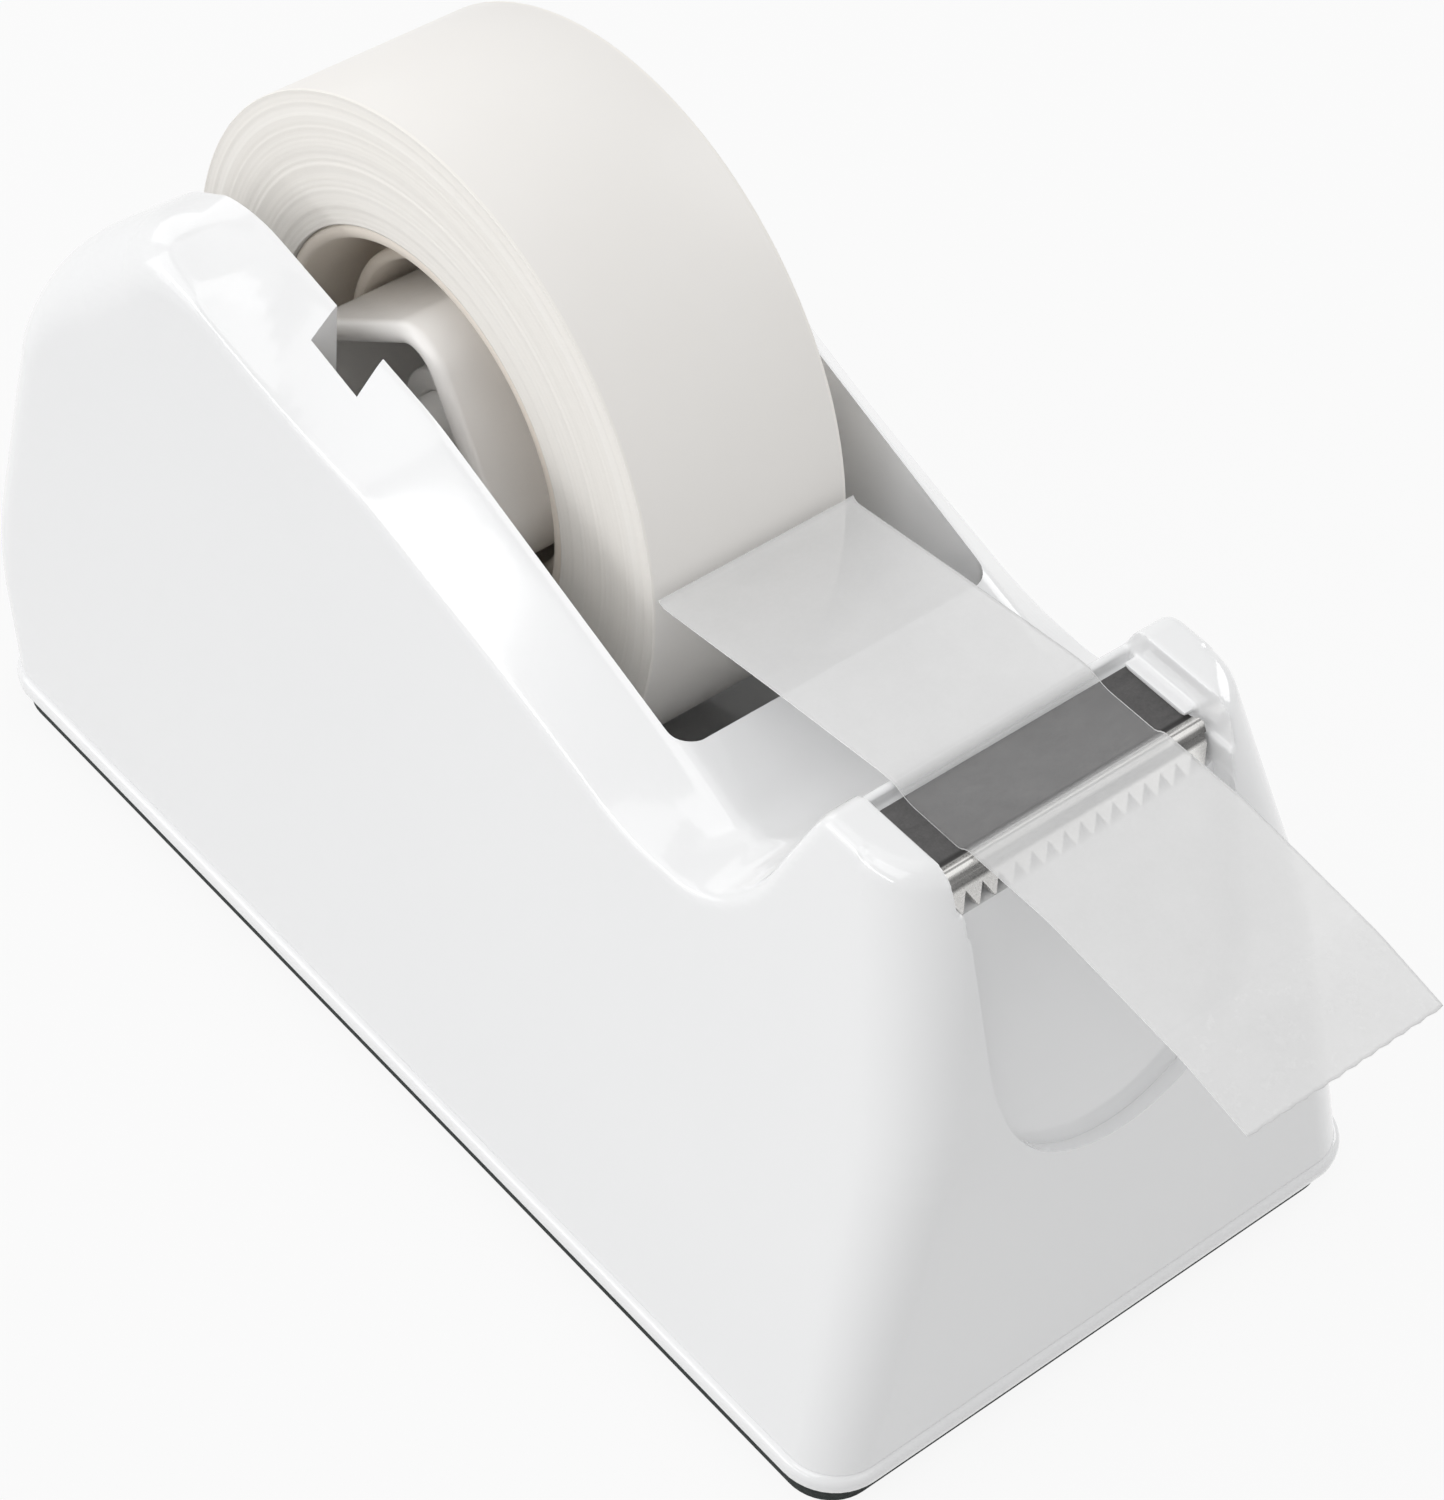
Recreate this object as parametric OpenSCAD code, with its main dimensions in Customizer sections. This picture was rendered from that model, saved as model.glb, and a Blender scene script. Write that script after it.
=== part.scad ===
// Desk tape dispenser: weighted body with a tape well, a lift-out reel and a toothed cutter.
// X is the width, Y the length with the cutter at -Y, Z is up, z = 0 under the anti-slip mat.

/* [Tape] */
// Width of the tape
tape_w = 19; // [15:0.5:22]
// Outer diameter of the full roll
roll_d = 57; // [48:0.5:57.5]
// Bore of the core's inner ring
core_bore_d = 26.2; // [24:0.1:27]
// Wall of the core's inner ring
core_ring_t = 1.05; // [0.8:0.05:1.5]
// Length of the core's inner ring
core_ring_len = 10.6; // [6:0.2:14]
// Inner diameter of the core's outer rim
core_rim_id = 32.8; // [31:0.1:34]
// Wall of the core's outer rim
core_rim_t = 1.2; // [0.8:0.1:2]
// Thickness of the core's web
core_web_t = 1.4; // [1:0.1:2.5]

/* [Reel hub and axle] */
// Length of the square hub
hub_len = 23; // [20:0.5:26]
// Corner radius of the hub's square
hub_corner = 4.3; // [3:0.1:6]
// Wall of the hub
hub_t = 1.9; // [1.4:0.1:2.4]
// Turn of the hub about its axle at rest
hub_turn = -35; // [-45:1:45]
// Diameter of the hub's bearing boss
boss_d = 9.6; // [8.4:0.1:11]
// Length of the hub's bearing boss
boss_len = 14; // [8:0.5:18]
// Diameter of the axle
axle_d = 5.6; // [5:0.1:6.4]

/* [Body] */
// Length of the base plate
base_len = 108; // [106:1:124]
// Width of the base plate
base_w = 57; // [52:0.5:66]
// Corner radius of the base plate
base_corner = 4.9; // [4:0.1:7]
// Thickness of the base plate's edge
plate_t = 2.2; // [1.8:0.1:3]
// Ledge of the base plate outside the body
plate_ledge = 0.6; // [0.3:0.1:1.2]
// Wall of the body moulding
wall_t = 2.2; // [1.6:0.1:2.6]
// Lean of the body's sides at mid-length, in mm inward for each mm up
side_lean = 0.188; // [0.16:0.002:0.22]
// Edge radius along the top of the side walls
wall_edge_r = 9; // [6:0.5:9.5]
// Edge radius of the body's corners at the foot
foot_edge_r = 4.4; // [3:0.2:5]
// Edge radius of the cheeks beside the cutter
cheek_edge_r = 2.4; // [1.5:0.1:3]
// Height of the roll's axis
axis_z = 43; // [42:0.5:48]
// Distance of the roll's axis behind the middle of the base
axis_y = 21.5; // [19:0.5:22]

/* [Tape well] */
// Gap between the roll's side and the wall of the well
side_gap = 5.7; // [4:0.1:6.5]
// Gap between the roll's rim and the floor of the well
floor_gap = 1.5; // [1:0.1:2.5]
// Distance of the well's front edge ahead of the roll's rim
front_gap = 10.4; // [6:0.2:12]
// Corner radius of the well, seen from above
well_corner = 2; // [1:0.1:4]

/* [Cutter] */
// Height of the blade's seat
seat_z = 50; // [49:0.1:51]
// Height of the cheeks above the seat
cheek_h = 3.4; // [2.4:0.1:3.6]
// Length of the blade
blade_len = 25.4; // [22:0.1:25.6]
// Depth of the blade's flat plate, front to back
blade_flat = 6.8; // [5:0.1:8]
// Thickness of the blade
blade_t = 0.5; // [0.3:0.05:0.8]
// Number of teeth
teeth = 16; // [12:1:20]
// Length of a tooth
tooth_len = 1.5; // [1:0.1:2]
// Distance between the cheeks
cheek_gap = 26.8; // [26.2:0.1:28]

/* [Mat and ballast] */
// Thickness of the anti-slip mat
mat_t = 2; // [1:0.1:3]
// Inset of the mat from the base plate's edge
mat_inset = 1.1; // [0.8:0.1:4]
// Play round each ballast block
ballast_play = 0.5; // [0.3:0.1:1]
/* [Hidden] */
$fn = 96;

play = 0.05;
far = 200;
plate_top = mat_t + plate_t;
body_half_w = base_w / 2 - plate_ledge;
body_half_len = base_len / 2 - plate_ledge;
roll_r = roll_d / 2;
axle_r = axle_d / 2;
core_hole_r = core_rim_id / 2;
winding_r = core_hole_r + core_rim_t;

// Tape well, sized from the roll
well_half_w = tape_w / 2 + side_gap;
well_r = roll_r + floor_gap;
well_front = axis_y - roll_r - front_gap;
well_wall = 1.8;
rear_notch_z = axis_z - 5;

// Cutter tray
blade_rear = well_front - 16.2;
blade_front = blade_rear - blade_flat;
ridge_h = 0.5;
ridge_len = 0.9;
tray_rear = blade_rear + 0.7;
rib_t = 1.3;
rib_h = 1.1;
cheek_top = seat_z + cheek_h;
cheek_rear = tray_rear - 0.5;
lip_over = 0.6;
lip_t = 0.8;

// Side view of the body, front bottom to rear bottom:
// [y, z, corner radius, edge radius before the corner, edge radius after it]
skirt_z = -6;
tight = cheek_edge_r;
OUTLINE = [
    [-body_half_len - 1.1, skirt_z, 0, foot_edge_r, foot_edge_r],
    [-body_half_len + 2.6, 32, 31, foot_edge_r - 1, foot_edge_r - 1],
    [blade_front - 2.9, cheek_top, tight + 0.2, tight, tight],
    [cheek_rear + 0.4, cheek_top, tight + 0.2, tight, tight],
    [cheek_rear + 5.4, cheek_top - 11.6, 5.5, tight, wall_edge_r],
    [axis_y + 17.1, axis_z + 20.2, 21, wall_edge_r, wall_edge_r - 2.5],
    [body_half_len - 0.2, axis_z + 2.8, 20, wall_edge_r - 2.5, foot_edge_r - 0.6],
    [body_half_len + 3.7, 15, 24, foot_edge_r - 0.6, foot_edge_r - 0.6],
    [body_half_len - 2.5, skirt_z, 0, foot_edge_r, foot_edge_r]
];
ARC_STEPS = 7;
EDGE_STEPS = 5;
SIDE_STEPS = 3;
RUN_STEP = 9;
foot_z = -12;
foot_reach = body_half_len - 13.4;

function unit(v) = v / norm(v);
function left_of(d) = [-d[1], d[0]];
function yz(p) = [p[0], p[1]];

// Stations round corner p of the path from a to c: [point, outward normal, edge radius]
function corner_stations(a, p, c) =
    let (b = yz(p), r = p[2], u = unit(yz(a) - b), v = unit(yz(c) - b), turn = 180 - acos(u * v),
         hand = -sign(left_of(v) * u),
         hub_at = b + unit(u + v) * r / cos(turn / 2),
         first = b + u * r * tan(turn / 2) - hub_at,
         from = atan2(first[1], first[0]))
    [for (i = [0:ARC_STEPS])
        let (angle = from - hand * turn * i / ARC_STEPS, out = [cos(angle), sin(angle)])
        [hub_at + r * out, hand * out, p[3] + (p[4] - p[3]) * i / ARC_STEPS]];

// Stations along the whole side view: the corners' own, then more on the long runs between them
function corner_path() =
    let (n = len(OUTLINE), first = yz(OUTLINE[0]), last = yz(OUTLINE[n - 1]))
    concat(
        [[first, left_of(unit(yz(OUTLINE[1]) - first)), OUTLINE[0][3]]],
        [for (i = [1:n - 2])
            each corner_stations(OUTLINE[i - 1], OUTLINE[i], OUTLINE[i + 1])],
        [[last, left_of(unit(last - yz(OUTLINE[n - 2]))), OUTLINE[n - 1][3]]]);

function between(a, b, t) = [a[0] + (b[0] - a[0]) * t, unit(a[1] + (b[1] - a[1]) * t), a[2] + (b[2] - a[2]) * t];

function stations() =
    let (path = corner_path(), n = len(path))
    concat(
        [for (i = [0:n - 2])
            let (steps = ceil(norm(path[i + 1][0] - path[i][0]) / RUN_STEP))
            for (j = [0:steps - 1]) between(path[i], path[i + 1], j / steps)],
        [path[n - 1]]);

// Half-width of the body at [y, z]: the sides lean in most beside the cutter, least at the rear
lean_taper = 0.00184;
lean_curve = 0.000019;
lean_cube = 0.00000014;
function lean_at(y) = side_lean - lean_taper * y - lean_curve * y * y + lean_cube * y * y * y;
function half_width(y, z) = body_half_w - lean_at(y) * (z - plate_top);
function side_normal(y, z) =
    [1, half_width(y - 0.5, z) - half_width(y + 0.5, z), half_width(y, z - 0.5) - half_width(y, z + 0.5)];

// One half of a cross-section: a column up the side, then the edge round to the top
function half_ring(station) =
    let (r = station[2], centre = station[0] - r * station[1],
         slope = side_normal(centre[0], centre[1]), side = unit(slope),
         x = half_width(centre[0], centre[1]) - r * norm(slope),
         top = [0, station[1][0], station[1][1]], span = acos(side * top),
         foot_y = max(-foot_reach, min(foot_reach, centre[0])),
         foot = [half_width(foot_y, foot_z), foot_y, foot_z],
         round_edge = [for (i = [0:EDGE_STEPS])
             let (a = span * i / EDGE_STEPS)
             [x, centre[0], centre[1]] + r * (sin(span - a) * side + sin(a) * top) / sin(span)])
    concat([for (i = [0:SIDE_STEPS - 1])
                let (p = foot + (round_edge[0] - foot) * i / SIDE_STEPS)
                [half_width(p[1], p[2]), p[1], p[2]]],
           round_edge);

function mirrored(points) = [for (i = [len(points) - 1:-1:0]) [-points[i][0], points[i][1], points[i][2]]];

// Block with the body's side view, leaning sides and round edges, closed below the base
module body_form() {
    rings = [for (s = stations()) let (half = half_ring(s)) concat(half, mirrored(half))];
    n = len(rings);
    m = len(rings[0]);
    skin = [for (i = [0:n - 2], j = [0:m - 2], k = [0, 1])
        k == 0 ? [i * m + j, i * m + j + 1, (i + 1) * m + j + 1]
               : [i * m + j, (i + 1) * m + j + 1, (i + 1) * m + j]];
    rim = concat([for (j = [0:m - 1]) j], [for (i = [1:n - 1]) i * m + m - 1],
                 [for (j = [m - 2:-1:0]) (n - 1) * m + j], [for (i = [n - 2:-1:1]) i * m]);
    cap = [for (i = [0:len(rim) - 1]) [n * m, rim[(i + 1) % len(rim)], rim[i]]];
    polyhedron(concat([for (ring = rings, p = ring) p], [[0, 0, foot_z - 6]]),
               concat(skin, cap), convexity = 6);
}

// Side-view polygon swept across the body
module across(half_width) {
    rotate([90, 0, 90]) linear_extrude(2 * half_width, center = true) children();
}

// Flat runs round the roll, each at least the floor gap away from its rim
module well_side_view(extra) {
    offset(delta = extra) polygon([[well_front, far], [well_front, axis_z + 2],
        [axis_y - well_r * 0.75, axis_z - well_r * 0.84], [axis_y - well_r * 0.2, axis_z - well_r * 1.01],
        [axis_y + well_r * 0.25, axis_z - well_r * 1.01], [axis_y + well_r * 0.72, axis_z - well_r * 0.82],
        [axis_y + well_r, axis_z - well_r * 0.4], [axis_y + well_r, far]]);
}

module well_plan(extra) {
    half = well_half_w + extra;
    front = well_front - extra;
    translate([-half, front]) offset(r = well_corner) offset(delta = -well_corner)
        square([2 * half, far]);
}

// The space that the roll sits in, open upward
module tape_well() {
    intersection() {
        across(far) union() {
            well_side_view(0);
            translate([axis_y, rear_notch_z]) square([far, far]);
        }
        linear_extrude(far) well_plan(0);
    }
}

module well_block() {
    intersection() {
        across(far) well_side_view(well_wall);
        linear_extrude(far) well_plan(well_wall);
    }
}

// Blind slots that the axle's ends drop into
slot_half_w = axle_r + play;
slot_depth = 2.4;

module axle_slots() {
    reach = well_half_w + slot_depth;
    translate([0, axis_y, axis_z]) rotate([0, 90, 0]) cylinder(h = 2 * reach, r = slot_half_w, center = true);
    translate([-reach, axis_y - slot_half_w, axis_z]) cube([2 * reach, 2 * slot_half_w, far]);
}

// Thick pads behind the slots
module slot_pads() {
    for (side = [-1, 1])
        translate([side * (well_half_w + slot_depth / 2 + 1), axis_y, axis_z - 5])
            linear_extrude(far) square([slot_depth + 2, 2 * axle_r + 6], center = true);
}

// Screw places under the body, mirrored left and right: [x, y]
screw_r = 1.25;
screw_head_r = 2.3;
screw_len = 9;
post_r = 3.1;
post_h = 14;
front_post = [body_half_w - 7.2, -body_half_len + 9];
rear_post = [well_half_w + well_wall + post_r - 0.6, body_half_len - 8];

module at_screws() {
    for (side = [-1, 1], place = [front_post, rear_post])
        translate([side * place[0], place[1], 0]) children();
}

module screw_posts() {
    at_screws() translate([0, 0, plate_top]) cylinder(h = post_h, r = post_r);
    for (side = [0, 1], place = [front_post, rear_post]) mirror([side, 0, 0])
        translate([place[0], place[1] - 0.8, plate_top + 3])
            cube([body_half_w - place[0], 1.6, post_h - 5]);
}

// Front finger scoop under the cutter, cut square to its own leaning floor
scoop_r = 12.8;
scoop_z = 36.3;
scoop_top_y = blade_front - 1.5;
scoop_lean = 17;

module finger_scoop() {
    translate([0, scoop_top_y, seat_z]) rotate([90 - scoop_lean, 0, 0]) {
        drop = (seat_z - scoop_z) / cos(scoop_lean);
        translate([0, -drop, 0]) cylinder(h = 20, r = scoop_r);
        translate([-scoop_r, -drop, 0]) cube([2 * scoop_r, drop + 10, 20]);
    }
}

// Level cuts that leave the blade's seat, the rib behind it and the drop ahead of the teeth
tooth_drop = 2.1;

module cutter_tray() {
    half = cheek_gap / 2;
    over = blade_len / 2 + 0.2;
    translate([-over, -far, seat_z - tooth_drop]) cube([2 * over, far + blade_front - 0.6, far]);
    translate([-half, -far, seat_z]) cube([2 * half, far + tray_rear, far]);
    translate([-half, -far, seat_z + rib_h]) cube([2 * half, far + tray_rear + rib_t, far]);
}

// Lips on the cheeks that hold the blade's ends down
module blade_lips() {
    for (side = [0, 1]) mirror([side, 0, 0])
        translate([blade_len / 2 - lip_over, blade_front + 0.5, seat_z + blade_t + play])
            cube([cheek_gap / 2 - blade_len / 2 + lip_over + 1, blade_flat - 0.5, lip_t]);
}

// Closed solid through rings that have equally many points
module loft(rings) {
    n = len(rings);
    m = len(rings[0]);
    skin = [for (i = [0:n - 2], j = [0:m - 1], k = [0, 1])
        let (a = i * m + j, b = i * m + (j + 1) % m)
        k == 0 ? [a, b, b + m] : [a, b + m, a + m]];
    ends = [for (j = [1:m - 2], k = [0, (n - 1) * m])
        k == 0 ? [0, j + 1, j] : [k, k + j, k + j + 1]];
    polyhedron([for (ring = rings, p = ring) p], concat(skin, ends), convexity = 4);
}

// Space between the body's side walls
cavity_margin = wall_t + 0.6;
cavity_steps = 8;

module between_sides() {
    top = axis_z + 12;
    loft([for (i = [0:cavity_steps])
        let (y = body_half_len * (2 * i / cavity_steps - 1),
             low = half_width(y, 0) - cavity_margin, high = half_width(y, top) - cavity_margin)
        [[-low, y, 0], [low, y, 0], [high, y, top], [-high, y, top]]]);
}

// Hollow under the body, clear of the well, the posts and the cutter's seat
module body_cavity() {
    head_top = seat_z - cavity_margin;
    dip = OUTLINE[4];
    difference() {
        intersection() {
            between_sides();
            across(far) polygon([[-body_half_len + 3.4, 0], [-body_half_len + 6.4, 23],
                [scoop_top_y + 3.4, head_top - 6], [scoop_top_y + 6, head_top], [tray_rear, head_top],
                [dip[0] - 0.8, dip[1] - 4.7], [well_front, dip[1] - 2], [axis_y - 14, axis_z + 4],
                [axis_y + 16, axis_z + 8], [body_half_len - 5, axis_z - 6],
                [body_half_len - 1, 14], [body_half_len - 2.4, 0]]);
        }
        well_block();
        slot_pads();
        screw_posts();
    }
}

module body_shell() {
    color("white") difference() {
        union() {
            difference() {
                body_form();
                cutter_tray();
            }
            blade_lips();
        }
        translate([-far / 2, -far / 2, plate_top - far]) cube(far);
        body_cavity();
        tape_well();
        axle_slots();
        finger_scoop();
        at_screws() cylinder(h = plate_top + screw_len, r = screw_r + play);
    }
}

module rounded_slab(half_w, half_len, corner, h) {
    linear_extrude(h) offset(r = corner) square([2 * (half_w - corner), 2 * (half_len - corner)], center = true);
}

module base_plate() {
    edge = 0.8;
    color("white") difference() {
        union() {
            translate([0, 0, mat_t]) rounded_slab(base_w / 2, base_len / 2, base_corner, plate_t - edge);
            translate([0, 0, mat_t]) rounded_slab(base_w / 2 - 0.3, base_len / 2 - 0.3, base_corner - 0.3, plate_t);
            locating_rim();
        }
        at_screws() cylinder(h = far, r = screw_r + play);
        at_screws() cylinder(h = mat_t + 1.1, r = screw_head_r + 0.2);
    }
}

// Rim on the plate that centres the body, broken at the screw posts
rim_h = 2;
rim_t = 1.2;
rim_half_w = body_half_w - cavity_margin - lean_at(0) * rim_h - 0.3;
rim_half_len = body_half_len - 5.2;

module locating_rim() {
    difference() {
        translate([0, 0, mat_t + 1]) rounded_slab(rim_half_w, rim_half_len, 3, plate_t - 1 + rim_h);
        translate([0, 0, mat_t]) rounded_slab(rim_half_w - rim_t, rim_half_len - rim_t, 2, far);
        at_screws() translate([0, 0, plate_top]) cylinder(h = far, r = post_r + 0.4);
    }
}

module anti_slip_mat() {
    color("black") rounded_slab(base_w / 2 - mat_inset, base_len / 2 - mat_inset, base_corner - 1, mat_t);
}

module base_screws() {
    color("silver") at_screws() {
        translate([0, 0, mat_t + 0.2]) cylinder(h = 0.9, r = screw_head_r);
        translate([0, 0, mat_t + 0.6]) cylinder(h = plate_top - mat_t + screw_len - 1.4, r = screw_r);
    }
}

// Cast blocks beside and ahead of the well
ballast_edge = rim_t + ballast_play;

module side_ballast() {
    inner = well_half_w + well_wall + ballast_play;
    outer = rim_half_w - ballast_edge;
    top = min(axis_z - 12, plate_top + 3 + (outer - inner - 1) / side_lean);
    rear = rear_post[1] - post_r - 1;
    color("dimgray") intersection() {
        translate([0, rear, 0]) rotate([90, 0, 0]) linear_extrude(52)
            polygon([[inner, plate_top], [outer, plate_top], [outer, plate_top + 3],
                     [outer - side_lean * (top - plate_top - 3), top], [inner, top]]);
        across(far) polygon([[-20, 0], [-20, 16], [axis_y - 10, top], [far, top], [far, 0]]);
    }
}

module ballast_left() {
    mirror([1, 0, 0]) side_ballast();
}

module ballast_right() {
    side_ballast();
}

module ballast_front() {
    front = ballast_edge - rim_half_len;
    rear = well_front - well_wall - ballast_play;
    color("dimgray") across(front_post[0] - post_r - 1)
        polygon([[front, plate_top], [front + 2, 22], [scoop_top_y + 5, 38], [tray_rear, 38],
                 [cheek_rear + 6, 33], [rear, 33], [rear, plate_top]]);
}

// Stamped steel strip with a raised ridge and a row of teeth
module cutter_blade() {
    ridge_y = blade_front - ridge_len / 2;
    tip_y = blade_front - ridge_len - 1.5;
    flank = atan2(2.7, 1.6);
    color("gray") {
        across(blade_len / 2) polygon([[blade_rear, seat_z], [blade_rear, seat_z + blade_t],
            [blade_front + 0.3, seat_z + blade_t], [ridge_y, seat_z + blade_t + ridge_h],
            [blade_front - ridge_len, seat_z + blade_t + ridge_h],
            [blade_front - ridge_len - 0.45, seat_z + blade_t + ridge_h - 0.75],
            [blade_front - ridge_len - 0.1, seat_z + ridge_h - 0.45],
            [ridge_y + 0.2, seat_z + ridge_h - 0.1], [blade_front + 0.5, seat_z]]);
        translate([0, blade_front - ridge_len - 0.1, seat_z + ridge_h - 0.2]) rotate([flank, 0, 0])
            translate([0, 0, -blade_t / 2]) blade_teeth();
    }
}

module blade_teeth() {
    half = blade_len / 2 - 0.2;
    pitch = 2 * half / teeth;
    root = -1.1;
    linear_extrude(blade_t) polygon(concat(
        [[half, 0], [-half, 0], [-half, root]],
        [for (i = [0:teeth - 1], p = [[0.5, root - tooth_len], [1, root]])
            [-half + (i + p[0]) * pitch, p[1]]]));
}

// Axle with a snap bead that holds the hub in the middle
bead_len = 2;
bead_h = 0.35;

module along_x() {
    translate([0, axis_y, axis_z]) rotate([0, 90, 0]) children();
}

module axle() {
    half = well_half_w + slot_depth - 0.2;
    edge = 0.5;
    color("white") along_x() rotate_extrude() polygon([[0, -half], [axle_r - edge, -half],
        [axle_r, -half + edge], [axle_r, -bead_len / 2 - bead_h], [axle_r + bead_h, -bead_len / 2],
        [axle_r + bead_h, bead_len / 2], [axle_r, bead_len / 2 + bead_h], [axle_r, half - edge],
        [axle_r - edge, half], [0, half]]);
}

// Square drum with rounded corners, a middle web and a bearing boss
hub_flats = sqrt(2) * (core_bore_d / 2 - play + hub_corner * (sqrt(2) - 1));
hub_web_t = 2.4;

module hub_square(inset, h) {
    side = hub_flats - 2 * inset;
    corner = hub_corner - inset;
    linear_extrude(h, center = true) offset(r = corner) square(side - 2 * corner, center = true);
}

module hub() {
    mouth = (hub_len - hub_web_t) / 2;
    color("white") along_x() rotate(hub_turn) difference() {
        union() {
            difference() {
                union() {
                    hub_square(0, hub_len - 1.2);
                    hub_square(0.35, hub_len - 0.4);
                    hub_square(0.7, hub_len);
                }
                for (side = [-1, 1]) translate([0, 0, side * (hub_web_t + mouth + 1) / 2])
                    hub_square(hub_t, mouth + 1);
            }
            cylinder(h = boss_len, r = boss_d / 2, center = true);
        }
        cylinder(h = hub_len, r = axle_r + play, center = true);
        rotate_extrude() polygon([[0, -bead_len / 2 - bead_h - 0.1], [axle_r, -bead_len / 2 - bead_h - 0.1],
            [axle_r + bead_h + 0.1, -bead_len / 2 - 0.1], [axle_r + bead_h + 0.1, bead_len / 2 + 0.1],
            [axle_r, bead_len / 2 + bead_h + 0.1], [0, bead_len / 2 + bead_h + 0.1]]);
    }
}

// Moulded core: outer rim for the tape, thin web, inner ring that fits the hub
module tape_core() {
    ring_r = core_bore_d / 2;
    rim_half = tape_w / 2 - 0.3;
    color("whitesmoke") along_x() rotate_extrude() polygon([
        [ring_r, -core_ring_len / 2], [ring_r + core_ring_t, -core_ring_len / 2],
        [ring_r + core_ring_t, -core_web_t / 2], [core_hole_r, -core_web_t / 2],
        [core_hole_r, -rim_half], [winding_r, -rim_half], [winding_r, rim_half],
        [core_hole_r, rim_half], [core_hole_r, core_web_t / 2], [ring_r + core_ring_t, core_web_t / 2],
        [ring_r + core_ring_t, core_ring_len / 2], [ring_r, core_ring_len / 2]]);
}

module tape_roll() {
    color("ivory") along_x() difference() {
        cylinder(h = tape_w, r = roll_r, center = true);
        cylinder(h = tape_w + 1, r = winding_r, center = true);
    }
}

// Free end of the tape, over the rib and the blade, drooping past the teeth
strip_t = 0.25;
strip_start = axis_y - roll_r - 0.45;
rib_top = seat_z + rib_h + 0.05;
strip_seat = seat_z + blade_t + 0.05;
ridge_top = seat_z + blade_t + ridge_h + 0.05;
STRIP_LINE = [[strip_start, axis_z + 5], [strip_start - 12, rib_top - 1.5],
    [tray_rear + rib_t, rib_top], [tray_rear, rib_top], [blade_rear - 0.8, strip_seat],
    [blade_front + 0.6, strip_seat], [blade_front, ridge_top], [blade_front - ridge_len, ridge_top],
    [blade_front - 8, ridge_top + 0.1], [blade_front - 12, ridge_top - 0.4],
    [blade_front - 22, ridge_top - 1.6], [blade_front - 28.5, ridge_top - 3.1]];

module tape_strip() {
    n = len(STRIP_LINE);
    color("lightgray") across(tape_w / 2) polygon(concat(
        STRIP_LINE, [for (i = [n - 1:-1:0]) STRIP_LINE[i] + [0, strip_t]]));
}

body_shell();
base_plate();
anti_slip_mat();
base_screws();
ballast_left();
ballast_right();
ballast_front();
cutter_blade();
axle();
hub();
tape_core();
tape_roll();
tape_strip();
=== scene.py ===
"""Weighted desk tape dispenser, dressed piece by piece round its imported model: the foot first,
then the body, the cutter and the lift-out reel with its tape. Sizes are written in millimetres."""
import math

import bpy
import numpy as np
from mathutils import Matrix, Vector


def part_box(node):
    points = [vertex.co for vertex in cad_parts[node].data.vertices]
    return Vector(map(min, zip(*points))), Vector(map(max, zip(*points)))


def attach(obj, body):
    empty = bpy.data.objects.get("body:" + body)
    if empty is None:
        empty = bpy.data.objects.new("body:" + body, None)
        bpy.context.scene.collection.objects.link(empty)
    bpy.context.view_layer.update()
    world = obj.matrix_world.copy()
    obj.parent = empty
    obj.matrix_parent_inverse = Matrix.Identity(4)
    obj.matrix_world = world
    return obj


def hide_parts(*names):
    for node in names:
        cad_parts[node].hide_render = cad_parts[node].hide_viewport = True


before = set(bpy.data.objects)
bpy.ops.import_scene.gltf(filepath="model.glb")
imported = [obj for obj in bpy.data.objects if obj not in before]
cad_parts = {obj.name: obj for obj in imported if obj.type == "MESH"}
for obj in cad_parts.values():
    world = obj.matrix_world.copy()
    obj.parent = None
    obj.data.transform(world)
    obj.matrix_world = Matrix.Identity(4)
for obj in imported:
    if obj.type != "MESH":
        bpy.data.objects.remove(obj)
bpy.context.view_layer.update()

# ---- Anti-slip mat ----
# A die-cut sheet of dark closed-cell foam rubber, glued under the base plate. Its edge is eased
# by the press, and only a thin dark line of it shows above the desk.

MM = 0.001
mat_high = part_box("anti_slip_mat")[1] / MM
mat_t = mat_high.z
MAT_CORNER = 3.9
MAT_EDGE = [   # (inset, height)
    (0.08, 0.0), (0.0, 0.08), (0.0, 0.3), (0.03, 1.0), (0.0, 1.75), (0.09, 1.94), (0.3, 2.0)]
# a Mix node's colour sockets by number, since its names repeat
SHARE, FIRST, SECOND, MIXED = 0, 6, 7, 2


class Wire:
    """A value in a finish: the arithmetic written on it becomes Math nodes."""

    def __init__(self, finish, socket):
        self.finish, self.socket = finish, socket

    def reckon(self, operation, *values):
        return self.finish.node("Math", {"operation": operation}, dict(enumerate(values)))

    def __add__(self, other):
        return self.reckon("ADD", self, other)

    def __radd__(self, other):
        return self.reckon("ADD", other, self)

    def __sub__(self, other):
        return self.reckon("SUBTRACT", self, other)

    def __rsub__(self, other):
        return self.reckon("SUBTRACT", other, self)

    def __mul__(self, other):
        return self.reckon("MULTIPLY", self, other)

    def __rmul__(self, other):
        return self.reckon("MULTIPLY", other, self)

    def __abs__(self):
        return self.reckon("ABSOLUTE", self)

    def at_most(self, other):
        return self.reckon("MINIMUM", self, other)

    def at_least(self, other):
        return self.reckon("MAXIMUM", self, other)


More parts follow.
